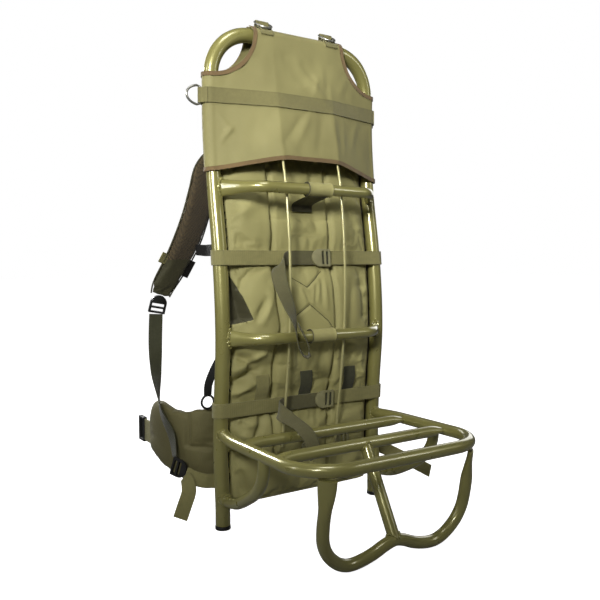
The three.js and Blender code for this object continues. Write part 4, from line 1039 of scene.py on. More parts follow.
# %% Hanging tails
UPPER_TAIL = [
    (24, 0, 455, 0, 0.113, 1), (-30, -1, 455, 0, 0.113, 1), (-48, -6, 453, 0.25, -0.1, 0.95),
    (-64, -13, 444, 0.6, -0.3, 0.75), (-75, -27, 426, 0.85, -0.25, 0.4), (-76, -44, 400, 0.95, 0, 0.25),
    (-71, -56, 372, 0.9, 0.3, 0.15), (-68, -64, 350, 0.7, 0.66, 0.05),
]
TAIL_LOOP = [
    (-66, 332), (-63.5, 317), (-59, 304), (-52, 294.5), (-45, 291.5),
    (-40.5, 296), (-42, 308), (-48, 322), (-55, 334), (-61.5, 345),
]
TAIL_LOOP_Y, TAIL_LOOP_ACROSS = -67.7, (0.55, 0.83, 0)
UPPER_TAIL += [(x, TAIL_LOOP_Y, z, *TAIL_LOOP_ACROSS) for x, z in TAIL_LOOP]
LOWER_TAIL = [
    (31, 0, 201, 0, -0.052, 1), (-30, -0.5, 201, 0, -0.052, 1), (-52, -4, 200, 0, 0, 1),
    (-66, -12, 198, 0.1, 0, 1), (-74, -28, 195, 0.4, 0, 0.9), (-75, -48, 191, 0.75, 0, 0.65),
    (-72, -66, 186, 0.95, 0, 0.3), (-66, -86, 177, 0.98, 0, 0.2), (-58, -98, 161, 0.96, 0, 0.27),
    (-50, -102, 130, 0.95, 0, 0.3),
]
for level, rows in (("upper", UPPER_TAIL), ("lower", LOWER_TAIL)):
    lift = wrap_front(WRAP_LEVELS[level]) - WEB_WALL / 2
    tail = band(level + "_loose_tail", flow([(r[0], r[1] + lift, *r[2:]) for r in rows], 5))
    dressed(tail, [level + "_strap_tail"], TAIL_WEBBING)
print("two hanging tails")

# %% [markdown]
# The panel between the uprights is the back of the padded harness: a stuffed cloth shell, pinched by the
# load straps and drawn in along crossing seams. It starts as a shallow loft. Then a cloth simulation blows
# it up a little while its back, rims and strapped places are held, which gives folds no formula would.

# %% Cloth helpers
SIM_FRAMES = 20
SIM_SLACK, SIM_BENDING = 0.06, 0.4


def voxels(piece, size):
    apply_modifier(piece, "REMESH", mode="VOXEL", voxel_size=size)


def coords(piece):
    found = np.zeros(len(piece.data.vertices) * 3)
    piece.data.vertices.foreach_get("co", found)
    return found.reshape(-1, 3)


def set_coords(piece, places):
    piece.data.vertices.foreach_set("co", np.asarray(places, float).ravel())
    piece.data.update()


def in_drawing(places):
    return (np.asarray(places) - np.array(SHIFT)) / MM


def set_from_drawing(piece, places):
    set_coords(piece, places * MM + np.array(SHIFT))


def finished_in(piece, *finishes):
    piece.data.materials.clear()
    for finish in finishes:
        piece.data.materials.append(finish)
    return piece


def puff(piece, held, cap, pressure=4.0):
    start = coords(piece)
    pins = piece.vertex_groups.new(name="held")
    for index, place in enumerate(start):
        pins.add([index], min(max(held(*in_drawing(place)), 0.0), 1.0), "REPLACE")
    cloth = piece.modifiers.new("puff", "CLOTH")
    rules = cloth.settings
    rules.quality = 6
    rules.use_pressure = True
    rules.uniform_pressure_force = pressure
    rules.shrink_min = -SIM_SLACK
    rules.bending_stiffness = SIM_BENDING
    rules.vertex_group_mass = "held"
    rules.effector_weights.gravity = 0
    cloth.point_cache.frame_start, cloth.point_cache.frame_end = 1, SIM_FRAMES
    for step in range(1, SIM_FRAMES + 1):
        bpy.context.scene.frame_set(step)
    made_active(piece)
    bpy.ops.object.modifier_apply(modifier=cloth.name)
    bpy.context.scene.frame_set(1)
    moved = coords(piece) - start
    length = np.linalg.norm(moved, axis=1, keepdims=True)
    most = cap * MM
    set_coords(piece, start + moved * (np.tanh(length / most) * most / np.maximum(length, 1e-9)))
    piece.vertex_groups.clear()


def drawn_in(piece, lines, width, depth, toward, only):
    places = in_drawing(coords(piece))
    pull = np.zeros(len(places))
    for (x0, z0), (x1, z1) in lines:
        run = np.array([x1 - x0, z1 - z0])
        offset = places[:, [0, 2]] - np.array([x0, z0])
        share = np.clip(offset @ run / (run @ run), 0, 1)
        gap = np.linalg.norm(offset - share[:, None] * run, axis=1)
        pull = np.maximum(pull, np.exp(-((gap / width) ** 2)))
    pull *= only(places)
    set_from_drawing(piece, places + pull[:, None] * np.array(toward) * depth)


def rounded(piece):
    apply_modifier(piece, "SUBSURF", levels=1, render_levels=1)
    smooth_shaded(piece, 80)


print("helpers for stuffed cloth are ready")

# %% [markdown]
# The panel's tables come first: how far its face stands out at each height, how wide it is, where seams and
# sewn channels run, and the folds that the load straps and the harness pull into it. A fold is a short line
# with a width and a height, because that is how the eye reads it on the real cloth.

# %% Panel tables and loft
PANEL_FLANGE, PANEL_FRONT, PANEL_BACK = 9, 5, 11.5
PANEL_CROWN = [
    (34, 1), (46, 7), (90, 15), (145, 17), (188, 15.5), (214, 15.5), (262, 19), (330, 20),
    (400, 18), (442, 15.5), (468, 15.5), (530, 16), (590, 14), (628, 9), (644, 2),
]
PANEL_WIDE = [(34, 140), (46, 145), (90, 146), (590, 146), (628, 145), (644, 138)]
SEAMS = [
    [(-35, 421), (-5, 403.5), (33, 432.5)], [(-31, 355.5), (-2, 373.5), (37, 342.5), (47, 329)],
]
CHANNELS = [
    [(-65, 610), (-65, 444), (-67, 387), (-60, 336), (-71, 295), (-66, 110)],
    [(55, 610), (55, 330), (51, 222), (50, 60)],
]
SEAM_WIDE, SEAM_DEEP = 2.2, 2.6
CHANNEL_WIDE, CHANNEL_DEEP = 4.2, 9.0
PANEL_VOXEL, PANEL_CAP = 0.005, 9.0
LOOP_X = {"left": -92, "middle": -4, "right": 92}
FOLD_GAIN = 1.7
PANEL_FOLDS = [
    (-106, 353, -87, 383, 7, -4), (-96, 350, -78, 391, 8, 3), (-150, 300, -100, 268, 9, -8),
    (-150, 262, -95, 292, 6, 5),
    (-150, 240, -108, 262, 7, -8), (-150, 224, -106, 240, 6, 5), (-19, 400, -9, 376, 3.4, 1.2),
    (7, 404, 4, 376, 3.4, 1.2), (20, 410, 14, 380, 3.4, 1.2), (33, 414, 33, 366, 4, 1.3),
    (-12, 398, -4, 378, 3, -1), (13, 406, 9, 378, 3, -1), (27, 412, 24, 374, 3, -1.2),
    (100, 430, 96, 345, 12, 2), (124, 425, 124, 350, 8, -4), (-146, 170, -110, 140, 8, 5),
    (-92, 180, -104, 138, 6, -6), (-128, 178, -100, 172, 8, 4), (70, 306, 104, 292, 9, 4),
    (70, 288, 112, 272, 8, -4), (118, 262, 132, 232, 8, 4), (-30, 320, -24, 268, 6, -3),
    (28, 310, 22, 260, 8, -3), (-140, 520, -90, 560, 14, 3), (90, 560, 120, 500, 12, -3),
    (-20, 518, 10, 470, 10, 2), (20, 160, 30, 110, 7, 3),
]


def fold_height(x, z, folds):
    total = 0.0 * x
    for x0, z0, x1, z1, width, height in folds:
        dx, dz = x1 - x0, z1 - z0
        held = np.clip(((x - x0) * dx + (z - z0) * dz) / (dx * dx + dz * dz), 0, 1)
        gap = np.hypot(x - x0 - held * dx, z - z0 - held * dz)
        swell = 0.45 + 0.55 * np.sin(math.pi * np.clip(held, 0.05, 0.95))
        total = total + height * np.exp(-((gap / width) ** 2)) * swell
    return total


def legs(lines):
    return [leg for line in lines for leg in zip(line, line[1:])]


def panel_front(x, z):
    half = smooth_at(PANEL_WIDE, z)
    share = min(abs(x) / half, 1)
    return upright_y(z) + PANEL_FRONT - smooth_at(PANEL_CROWN, z) * math.sqrt(1 - share**4)


panel_rings = []
for z in [34, 37, 41, 46, *range(55, 625, 10), 630, 636, 641, 644]:
    half = smooth_at(PANEL_WIDE, z)
    xs = [half * math.sin((k / 28 - 0.5) * math.pi) for k in range(29)]
    back = upright_y(z) + PANEL_BACK
    ring = [(x, panel_front(x, z), z) for x in xs]
    ring += [((half + PANEL_FLANGE) * (1 - k / 6), back, z) for k in range(13)]
    panel_rings.append(ring)
panel = rolled("panel_cloth", panel_rings)
voxels(panel, PANEL_VOXEL)
print("panel lofted with", len(panel.data.polygons), "faces")

# %% [markdown]
# The simulation holds the panel's back, its rim, and the places that straps, loops, locks and the sleeve's
# tab press flat, and lets the rest swell. Seams, channels and folds come after it, as small moves of the
# points, because the remeshed grid would have lost anything narrower than a voxel.

# %% Panel puffed up and folded
def panel_held(x, y, z):
    behind = y > upright_y(min(max(z, 0), 850)) + 7
    strapped = max(math.exp(-(((z - level) / 17) ** 4)) for level in WRAP_LEVELS.values())
    rim = abs(x) > 138 or z < 44 or z > 634
    looped = 204 < z < 260 and min(abs(x - place) for place in LOOP_X.values()) < 13
    buckled = 100 < z < 138 and -12 < x < 98
    tabbed = 524 < z < 570 and abs(x + 2) < 28
    return 1.0 if behind or rim or looped or buckled or tabbed else strapped


def panel_face(places):
    return places[:, 1] < np.array([upright_y(z) + 3 for z in places[:, 2]])


puff(panel, panel_held, PANEL_CAP)
rounded(panel)
drawn_in(panel, legs(SEAMS), SEAM_WIDE, SEAM_DEEP, (0, 1, 0), panel_face)
drawn_in(panel, legs(CHANNELS), CHANNEL_WIDE, CHANNEL_DEEP, (0, 1, 0), panel_face)
places = in_drawing(coords(panel))
pressed = [np.exp(-(((places[:, 2] - level) / 16) ** 4)) for level in WRAP_LEVELS.values()]
strapped = np.max(pressed, axis=0)
calm = panel_face(places) * (1 - strapped) * np.clip((149 - np.abs(places[:, 0])) / 4, 0, 1)
places[:, 1] -= FOLD_GAIN * fold_height(places[:, 0], places[:, 2], PANEL_FOLDS) * calm
print("panel puffed up, with", len(PANEL_FOLDS), "folds")

# %% [markdown]
# Beside the left upright the cloth is tucked in, to a triangle that lies in shade. Two lines bound it. Points
# near a line are moved onto it, so the edge is straight, and points inside sink back towards the pad. The
# tuck and the panel's rim get the darker cloth as painted shade.

# %% Panel tuck and seam threads
TUCK = [((-148, 432), (-0.916, -0.401)), ((-113, 352), (-0.26, 0.966))]
TUCK_LIP, TUCK_FLOOR, TUCK_SLOPE, TUCK_SNAP = 3, 9, 1.6, 1.7
RIM_SHADE = 145.5
THREAD_RADIUS = 0.7


def tuck_depths():
    return [(places[:, [0, 2]] - np.array(corner)) @ np.array(inward) for corner, inward in TUCK]


for line, (corner, inward) in enumerate(TUCK):
    depths = tuck_depths()
    close = (np.abs(depths[line]) < TUCK_SNAP) & (depths[1 - line] > -TUCK_SNAP) & panel_face(places)
    places[:, [0, 2]] -= (depths[line] * close)[:, None] * np.array(inward)
fall, rise = tuck_depths()
floor_y = np.array([upright_y(z) + TUCK_FLOOR for z in places[:, 2]])
tuck = np.clip(fall, 0, None) * TUCK_SLOPE * np.clip(rise / TUCK_LIP, 0, 1) * panel_face(places)
places[:, 1] += np.minimum(tuck, np.maximum(floor_y - places[:, 1], 0))
set_from_drawing(panel, places)
finished_in(panel, CLOTH, DARK_CLOTH_AND_SHADE)
# Painted shade: faces inside the tuck and along the rim get the darker cloth.
for polygon in panel.data.polygons:
    x, y, z = (polygon.center - SHIFT) / MM
    depths = [(x - corner[0]) * inward[0] + (z - corner[1]) * inward[1] for corner, inward in TUCK]
    painted_shade_place = min(depths) > 0.1 or abs(x) > RIM_SHADE
    polygon.material_index = 1 if painted_shade_place else 0


def seam_thread(line):
    bpy.context.view_layer.update()
    stations = []
    for (x0, z0), (x1, z1) in zip(line, line[1:]):
        for share in np.linspace(0, 1, 16)[:-1]:
            x, z = x0 + (x1 - x0) * share, z0 + (z1 - z0) * share
            hit, place = panel.ray_cast(spot(x, -90, z), (0, 1, 0))[:2]
            if hit:
                stations.append(tuple((place - SHIFT) / MM))
    return finished_in(bent_tube("thread", stations, THREAD_RADIUS, 8), DARK_CLOTH_AND_SHADE)


panel = joined("panel_cloth", [panel, *[seam_thread(line) for line in SEAMS]])
dressed(panel, ["back_panel"], None)
print("panel of", len(panel.data.polygons), "faces")

# %% [markdown]
# Small things sit on the panel: three loops of webbing tucked behind the lower strap, and two little locks.
# The loops are bands that stand off the panel's face in a low arch, and the locks are smaller copies of the
# ladder lock's recipe, laid flat on the cloth.

# %% Loops and small locks
LOOP_SHAPE = [(256, 1.2), (247, 3.2), (234, 5.2), (224, 3.6), (217, 1.4), (207, 1.2)]
SMALL_LOCKS = (("middle", 6, 117), ("right", 80, 121))
SMALL_LOCK_SIZE, SMALL_LOCK_LIFT = (30, 27, 3.5), 0.9
for side, x in LOOP_X.items():
    rows = [(x, panel_front(x, z) - off, z, 1, 0, 0) for z, off in LOOP_SHAPE]
    loop = band(side + "_web_loop", flow(rows, 3))
    dressed(loop, [side + "_panel_loop"], DARK_WEBBING if side != "left" else WEBBING)
for side, x, z in SMALL_LOCKS:
    small = lock_plate(side + "_small_lock", *SMALL_LOCK_SIZE)
    set_plate(small, (x, panel_front(x, z) - SMALL_LOCK_LIFT, z), (1, 0, 0), (0, -1, 0))
    dressed(small, [side + "_panel_buckle"], BUCKLE)
print("loops and small locks")

# %% [markdown]
# A cloth sleeve sits round the middle of each crossbar. It is a short tube with soft, slightly rolled lips.
# The upper one carries a tab that reaches down to the panel. The lips and the tab get the darker cloth as
# painted shade: the shade in the sleeve's open ends and under the crossbar.

# %% Sleeves
SLEEVE_HALF, SLEEVE_RADIUS, SLEEVE_WALL = 24, 11.1, 1.4
LIP_RADIUS, LIP_WIRE = 11.5, 1.1
TAB_X, TAB_WIDE, TAB_DROP = -2, 42, 27


def ring_of(middle, radius, steps, out, up):
    turns = np.linspace(0, math.tau, steps + 1)[:-1]
    return [
        tuple(Vector(middle) + Vector(out) * (radius * math.cos(t)) + Vector(up) * (radius * math.sin(t)))
        for t in turns
    ]


def sleeve(name, z):
    y = bar_y(z)

    def place(s, t):
        turn = math.tau * s
        lip = 0.9 * (abs(2 * t - 1) ** 12)
        slack = 0.5 * noise.noise(Vector((math.cos(turn) * 2, math.sin(turn) * 2, t * 5 + z)))
        radius = SLEEVE_RADIUS + slack * (1 - abs(2 * t - 1)) + lip
        x = (2 * t - 1) * SLEEVE_HALF
        return spot(x, y + radius * math.cos(turn), z + radius * math.sin(turn))

    piece = lay_grid(name, 40, 24, place, (0.07, 0.048))
    merged(piece)
    walled(piece, SLEEVE_WALL)
    finished_in(piece, CLOTH)
    lips = []
    for x in (-SLEEVE_HALF, SLEEVE_HALF):
        ring = ring_of((x, y, z), LIP_RADIUS, 48, (0, 1, 0), (0, 0, 1))
        # Painted shade: the lip rings get the darker cloth, for the shade in the sleeve's open ends.
        lips.append(finished_in(bent_tube("lip", ring, LIP_WIRE, 8, loop=True), DARK_CLOTH_AND_SHADE))
    return joined(name, [piece, *lips])


def sleeve_tab(z):
    end = z - TAB_DROP
    face = panel_front(0, end)
    line = [(bar_y(z) - 3, z - 11.7), (bar_y(z) + 10, z - 13.7), (face - 7, end + 4), (face - 6, end - 8)]
    tab = band("tab", flow([(TAB_X, y, height, 1, 0, 0) for y, height in line], 3), TAB_WIDE)
    # Painted shade: the tab gets the darker cloth, for the shade under the crossbar.
    return finished_in(tab, DARK_CLOTH_AND_SHADE)


upper_parts = [sleeve("upper_bar_sleeve", UPPER_BAR_Z), sleeve_tab(UPPER_BAR_Z)]
upper_wrap = joined("upper_bar_sleeve", upper_parts)
dressed(upper_wrap, ["upper_sleeve"], None)
middle_wrap = sleeve("middle_bar_sleeve", MIDDLE_BAR_Z)
dressed(middle_wrap, ["middle_sleeve"], None)
print("two sleeves")

# %% [markdown]
# The cover is a pocket of coated cloth pulled over the hoop's top and the rods' ends. Between hoop and rods
# it is stretched nearly flat, so it is built as one closed sheet through those lines, with tension folds
# added as low ridges, and its round corner cut-outs are punched before it gets its thickness.

# %% Cover surface
COVER_OUT = 2.6
COVER_MID = 1.7
CUT_X, CUT_Z, CUT_RADIUS = 170, 838, 77
TAPE_WIDE, TAPE_WALL = 7, 0.9
HEM = [(0, 621.5), (57, 620.5), (110, 611), (162, 600.5), (200, 596)]
COVER_GAIN = 0.65
COVER_FOLDS = [
    (18, 760, 52, 720, 8, 4.5), (-30, 800, 6, 752, 12, -3.4), (8, 706, -34, 640, 8, 3.4),
    (-2, 706, -50, 650, 7, -3.2), (34, 704, 16, 640, 8, -3.0), (52, 704, 60, 640, 9, 2.6),
    (84, 690, 76, 640, 7, 2.4), (-158, 692, -138, 666, 3.5, 4), (-158, 642, -136, 672, 3.5, 4),
    (60, 800, 48, 742, 9, -3.4), (-96, 790, -60, 770, 12, 2.4), (30, 770, 20, 742, 6, 3.2),
    (120, 700, 98, 650, 9, 2.4), (-120, 640, -70, 690, 16, -2.0), (-20, 740, 40, 770, 12, 3.0),
    (4, 790, 30, 760, 7, -3.0), (-110, 700, -80, 640, 14, 1.6), (100, 780, 76, 750, 9, 2.4),
]
STRAP_Z = 723


def hem_z(x):
    return smooth_at(HEM, min(abs(x), 199))


def cover_wrinkle(x, z):
    calm = min(1.0, (HALF_WIDTH - 4 - abs(x)) / 12) if abs(x) < HALF_WIDTH - 4 else 0.0
    strapped = 1 - 0.75 * math.exp(-(((z - STRAP_Z) / 15) ** 4))
    topped = min(max((826 - z) / 20, 0), 1)
    broad = 1.3 * noise.noise(Vector((x / 38, z / 52, 3.7)))
    broad += 0.5 * noise.noise(Vector((x / 15, z / 22, 9.1)))
    return calm * topped * strapped * (broad + COVER_GAIN * float(fold_height(x, z, COVER_FOLDS)))


def cover_y(x, z, lift, front):
    level = min(z, HOOP_TOP)
    middle = upright_y(level)
    radius = HOOP_RADIUS + lift
    beyond = abs(x) - HALF_WIDTH
    if beyond > 0:
        y = middle + (-1 if front else 1) * math.sqrt(max(radius**2 - beyond**2, 0))
    elif front:
        share = max((abs(x) - ROD_X) / (HALF_WIDTH - ROD_X), 0)
        crease = rod_y(level) - ROD_RADIUS - lift
        y = crease + (middle - radius - crease) * share
    else:
        y = middle + radius
    if z > HOOP_TOP:
        sine = min((z - HOOP_TOP) / radius, 1)
        y = middle + (y - middle) * math.sqrt(1 - sine**2)
    return y


def cover_columns():
    half = [*np.linspace(-HALF_WIDTH, -ROD_X - 3, 30), -ROD_X, *np.linspace(-ROD_X + 3, 0, 18)]
    fronts = half + [-x for x in reversed(half[:-1])]
    columns = [("left", math.pi * (0.5 + k / 18)) for k in range(18)]
    columns += [("front", x) for x in fronts]
    columns += [("right", math.pi * (1.5 + k / 18)) for k in range(1, 19)]
    return columns + [("back", x) for x in reversed(fronts[1:-1])]


def cover_spot(column, t, lift):
    kind, value = column
    radius = HOOP_RADIUS + lift
    hand = {"left": -1, "right": 1}.get(kind, 0)
    x = value if hand == 0 else hand * HALF_WIDTH + radius * math.cos(value)
    low = hem_z(x)
    body = min(t / 0.9, 1)
    z = low + (HOOP_TOP - low) * body
    rise = max(t - 0.9, 0) / 0.1 * math.pi / 2
    middle = upright_y(z)
    if hand:
        y = middle + radius * math.sin(value)
    else:
        y = cover_y(x, z, lift, kind == "front")
        if kind == "front":
            y -= cover_wrinkle(x, z)
    return (x, middle + (y - middle) * math.cos(rise), z + radius * math.sin(rise))


print("hem at the middle", hem_z(0), "mm and at the uprights", round(hem_z(HALF_WIDTH), 1), "mm")

# %% [markdown]
# The cover's grid runs once round the hoop and up over its crown. The corner cut-outs are made by hand, as
# with scissors: points near each circle are moved onto it, the faces inside are deleted, and only then does
# the cloth get its thickness, so the cut edge is clean. A boolean would leave slivers on so thin a sheet.

# %% Cover piece
COVER_FLAT, COVER_AREA = (0.76, 0.25), 0.165
COVER_WALL, COVER_ROWS = 1.4, 84
CUT_EDGE, CUT_SNAP = CUT_RADIUS + 0.8, 1.7
columns = cover_columns()


def cover_place(s, t):
    return spot(*cover_spot(columns[round(s * len(columns)) % len(columns)], t, COVER_MID))


cover = lay_grid("top_cloth", len(columns), COVER_ROWS, cover_place, COVER_FLAT)
for vertex in cover.data.vertices:
    x, y, z = (vertex.co - SHIFT) / MM
    hand = math.copysign(1, x)
    aside, rise = x - hand * CUT_X, z - CUT_Z
    gap = math.hypot(aside, rise)
    if abs(gap - CUT_EDGE) < CUT_SNAP:
        vertex.co = spot(hand * CUT_X + aside * CUT_EDGE / gap, y, CUT_Z + rise * CUT_EDGE / gap)
bpy.ops.object.mode_set(mode="EDIT")
bpy.ops.mesh.select_mode(type="FACE")
bpy.ops.mesh.select_all(action="DESELECT")
bpy.ops.object.mode_set(mode="OBJECT")
for face in cover.data.polygons:
    x, y, z = (face.center - SHIFT) / MM
    face.select = math.hypot(abs(x) - CUT_X, z - CUT_Z) < CUT_EDGE
bpy.ops.object.mode_set(mode="EDIT")
bpy.ops.mesh.delete(type="FACE")
bpy.ops.mesh.select_mode(type="VERT")
merged(cover)
walled(cover, COVER_WALL, 40)
# Painted shade: the cover gets the darker copy of the panel's cloth.
dressed(cover, ["top_cover"], SHADED_COVER_CLOTH)
print("cover of", len(cover.data.polygons), "faces")

# %% [markdown]
# A brown tape binds the cover's hem and its two cut-outs. Each is a band laid on the cover's own surface, a
# little further out, so it follows every turn of the cloth.

# %% Bindings
TAPE_LIFT = COVER_OUT + 0.75


def hem_place(s, t):
    kind, value = columns[round(t * len(columns)) % len(columns)]
    x, y, z = cover_spot((kind, value), 0, TAPE_LIFT)
    return spot(x, y, z - 0.8 + s * TAPE_WIDE)


def ringed_band(name, across, along, place, width, length, wall):
    piece = lay_grid(name, across, along, place, (width * MM, length))
    merged(piece)
    walled(piece, wall)
    return piece


hem_tape = ringed_band("hem_tape", 4, len(columns), hem_place, TAPE_WIDE, COVER_FLAT[0], TAPE_WALL)
dressed(hem_tape, ["hem_binding"], TAPE)


def corner_place(hand):
    def place(s, t):
        radius = CUT_RADIUS + s * TAPE_WIDE
        crown = HOOP_RADIUS + TAPE_LIFT
        first = math.pi - math.asin((HOOP_TOP + crown * 0.985 - CUT_Z) / radius)
        last = math.pi * 1.5 + math.asin((HALF_WIDTH + crown * 0.985 - CUT_X) / radius)
        u = 2 * t if t <= 0.5 else 2 - 2 * t
        eased = 0.5 - 0.5 * math.cos(math.pi * u)
        turn = first + (last - first) * eased
        x = CUT_X + radius * math.cos(turn)
        z = CUT_Z + radius * math.sin(turn)
        y = cover_y(x, z, TAPE_LIFT, t <= 0.5)
        if t <= 0.5:
            y -= cover_wrinkle(x, z)
        return spot(hand * x, y, z)

    return place


for side, hand in SIDES:
    corner = ringed_band(side + "_corner_tape", 4, 96, corner_place(hand), TAPE_WIDE, 0.3, TAPE_WALL)
    dressed(corner, [side + "_corner_binding"], TAPE)
print("three bindings")

# %% [markdown]
# A strap runs once round the cover at its middle, and folded keepers hold the D-rings: two at the sides in
# the strap, two on the crown in keepers of their own. The rings are bent wire, so each is a closed curve.

# %% Cover strap and keepers
STRAP_LIFT = COVER_OUT + STRAP_GAP + WEB_WALL / 2
RING_WIRE, RING_HALF, RING_REACH = 2, 16, 24
KEEPER_TURNS = range(-80, 81, 10)
KEEPER_TURN = RING_WIRE + STRAP_GAP + WEB_WALL / 2


def on_circle(radius, degrees):
    return radius * math.cos(math.radians(degrees)), radius * math.sin(math.radians(degrees))


def strap_place(s, t):
    kind, value = columns[round(t * len(columns)) % len(columns)]
    hand = {"left": -1, "right": 1}.get(kind, 0)
    radius = HOOP_RADIUS + STRAP_LIFT
    x = value if hand == 0 else hand * HALF_WIDTH + radius * math.cos(value)
    z = STRAP_Z + (s - 0.5) * WEB_WIDTH
    y = upright_y(z) + radius * math.sin(value) if hand else cover_y(x, z, STRAP_LIFT, kind == "front")
    if kind == "front":
        y -= max(cover_wrinkle(x, z), 0) + 0.2
    return spot(x, y, z)


cover_band = ringed_band(
    "cover_web", WEB_COLUMNS, len(columns), strap_place, WEB_WIDTH, 0.78, WEB_WALL
)
side_lie = HOOP_RADIUS + COVER_OUT + STRAP_GAP + WEB_WALL
side_bar_x = HALF_WIDTH + side_lie + STRAP_GAP + RING_WIRE
keepers = [cover_band]
for hand in (-1, 1):
    turned = [on_circle(side_lie + WEB_WALL / 2, turn) for turn in range(48, 16, -6)]
    feet = [(HALF_WIDTH + out, back) for out, back in turned]
    wrap = [(side_bar_x + out, back) for out, back in (on_circle(KEEPER_TURN, turn) for turn in KEEPER_TURNS)]
    line = [(x, -y) for x, y in feet] + wrap + list(reversed(feet))
    up = tuple(upright_run(STRAP_Z))
    path = [(hand * x, upright_y(STRAP_Z) + y, STRAP_Z, *up) for x, y in line]
    keepers.append(band("keeper", path))
dressed(joined("cover_web", keepers), ["cover_strap"], SHADED_COVER_WEBBING)
print("a cover strap with two side keepers")

# %% [markdown]
# The four D-rings are the parts that move. Each is a wire with one straight side, which lies in its keeper
# and is the hinge's axis, so the ring rides on its own body and the keeper on the frame. The keepers on the
# crown go down over the cover in front and behind, and are pinched together under the wire.

# %% D-rings
TOP_RING_X, TOP_RING_RISE = 67, 10
TOP_LEAN, RIGHT_SWING = math.radians(32), math.radians(53)
RING_STRAIGHT = 0.86
NECK_HALF, NECK_DROP = 3.4, 7
CROWN_GAP = 0.6


def ring_wire(name, middle, out, along, node):
    local = [(0, RING_HALF * RING_STRAIGHT * k / 8) for k in range(-8, 9)]
    for degrees in range(76, -77, -8):
        turn = math.radians(degrees)
        local.append((RING_REACH * math.cos(turn), RING_HALF * math.sin(turn)))
    stations = [tuple(Vector(middle) + Vector(out) * o + Vector(along) * a) for o, a in local]
    ring = bent_tube(name, stations, RING_WIRE, 14, loop=True)
    return dressed(ring, [node], NICKEL, node)


side_ways = {"left": (-1, 0, 0), "right": (math.cos(RIGHT_SWING), math.sin(RIGHT_SWING), 0)}
for side, hand in SIDES:
    middle = (hand * side_bar_x, upright_y(STRAP_Z), STRAP_Z)
    ring_wire(side + "_side_wire", middle, side_ways[side], (0, 0, 1), side + "_side_ring")
top_y, top_bar_z = upright_y(HOOP_TOP), HOOP_TOP + HOOP_RADIUS + COVER_OUT + TOP_RING_RISE


def crown_place(turn, front):
    lift = COVER_OUT + CROWN_GAP + WEB_WALL / 2
    radius = HOOP_RADIUS + lift
    depth = cover_y(TOP_RING_X, HOOP_TOP, lift, True) - top_y if front else radius
    return (top_y + on_circle(depth, turn)[0], HOOP_TOP + on_circle(radius, turn)[1])


for side, hand in SIDES:
    out = (0, -math.cos(TOP_LEAN), -math.sin(TOP_LEAN))
    middle = (hand * TOP_RING_X, top_y, top_bar_z)
    ring_wire(side + "_top_wire", middle, out, (1, 0, 0), side + "_top_ring")
    wrap = [(top_y + y, top_bar_z + z) for z, y in (on_circle(KEEPER_TURN, turn) for turn in KEEPER_TURNS)]
    front = [crown_place(turn, True) for turn in range(2, 61, 8)]
    back = [crown_place(turn, False) for turn in range(58, 1, -8)]
    front.append((top_y - NECK_HALF, top_bar_z - NECK_DROP))
    back.insert(0, (top_y + NECK_HALF, top_bar_z - NECK_DROP))
    line = front + wrap + back
    keeper = band(side + "_top_web", [(hand * TOP_RING_X, y, z, 1, 0, 0) for y, z in line])
    dressed(keeper, [side + "_top_keeper"], SHADED_COVER_WEBBING)
print("four rings and two top keepers")

# %% [markdown]
# On the wearer's side there are a back pad, a hip belt and two shoulder straps. They are foam in a cloth
# skin, so each is a loft, remeshed and blown up a little. What faces the wearer is an open spacer net.

# %% Back pad
PAD_HALF, PAD_SHIFT, PAD_FRONT, PAD_BACK, PAD_BULGE = 163.5, 4, 17, 40, 7
PAD_SHARE = [(40, 0.35), (52, 0.85), (90, 1), (590, 1), (622, 0.85), (638, 0.35)]
PAD_VOXEL, PAD_CAP = 0.006, 4.0
QUILT_X, QUILT_Z = (0, -74, 74), (60, 620)
QUILT_WIDE, QUILT_DEEP = 5, 4.0
pad_rings = []
for z in [40, 43, 47, 52, *range(60, 620, 12), 626, 632, 638]:
    y = upright_y(z)
    share = min(smooth_at(PAD_SHARE, z), 1)
    back = y + PAD_FRONT + (PAD_BACK - PAD_FRONT) * share - 2
    ring = [(PAD_SHIFT + PAD_HALF * (k / 8 - 1), y + PAD_FRONT, z) for k in range(17)]
    for k in range(25):
        turn = k / 24 * math.pi
        bulge = PAD_BULGE * (1 - math.sin(turn) ** 0.5) * share
        ring.append((PAD_SHIFT + PAD_HALF * bowed(math.cos(turn), 0.4), back - bulge, z))
    pad_rings.append(ring)


def pad_held(x, y, z):
    near_frame = y < upright_y(min(max(z, 0), 850)) + 21
    return 1.0 if near_frame or 540 < z or z < 200 else 0.0


def pad_back(places):
    return places[:, 1] > np.array([upright_y(z) + 26 for z in places[:, 2]])


pad = rolled("pad_foam", pad_rings)
voxels(pad, PAD_VOXEL)
puff(pad, pad_held, PAD_CAP)
quilt = [tuple((x, z) for z in QUILT_Z) for x in QUILT_X]
drawn_in(pad, quilt, QUILT_WIDE, QUILT_DEEP, (0, -1, 0), pad_back)
rounded(pad)
dressed(pad, ["back_pad"], NET)
print("pad of", len(pad.data.polygons), "faces")

# %% [markdown]
# The hip belt is one long cushion that lies across the pad and reaches forward round the waist on both
# sides, thinner at its tips. It is lofted through a table of rows, then puffed up, with its middle and tips
# held. A pressed crease runs over each wing, and a wide stub of webbing leaves each tip for the buckle.

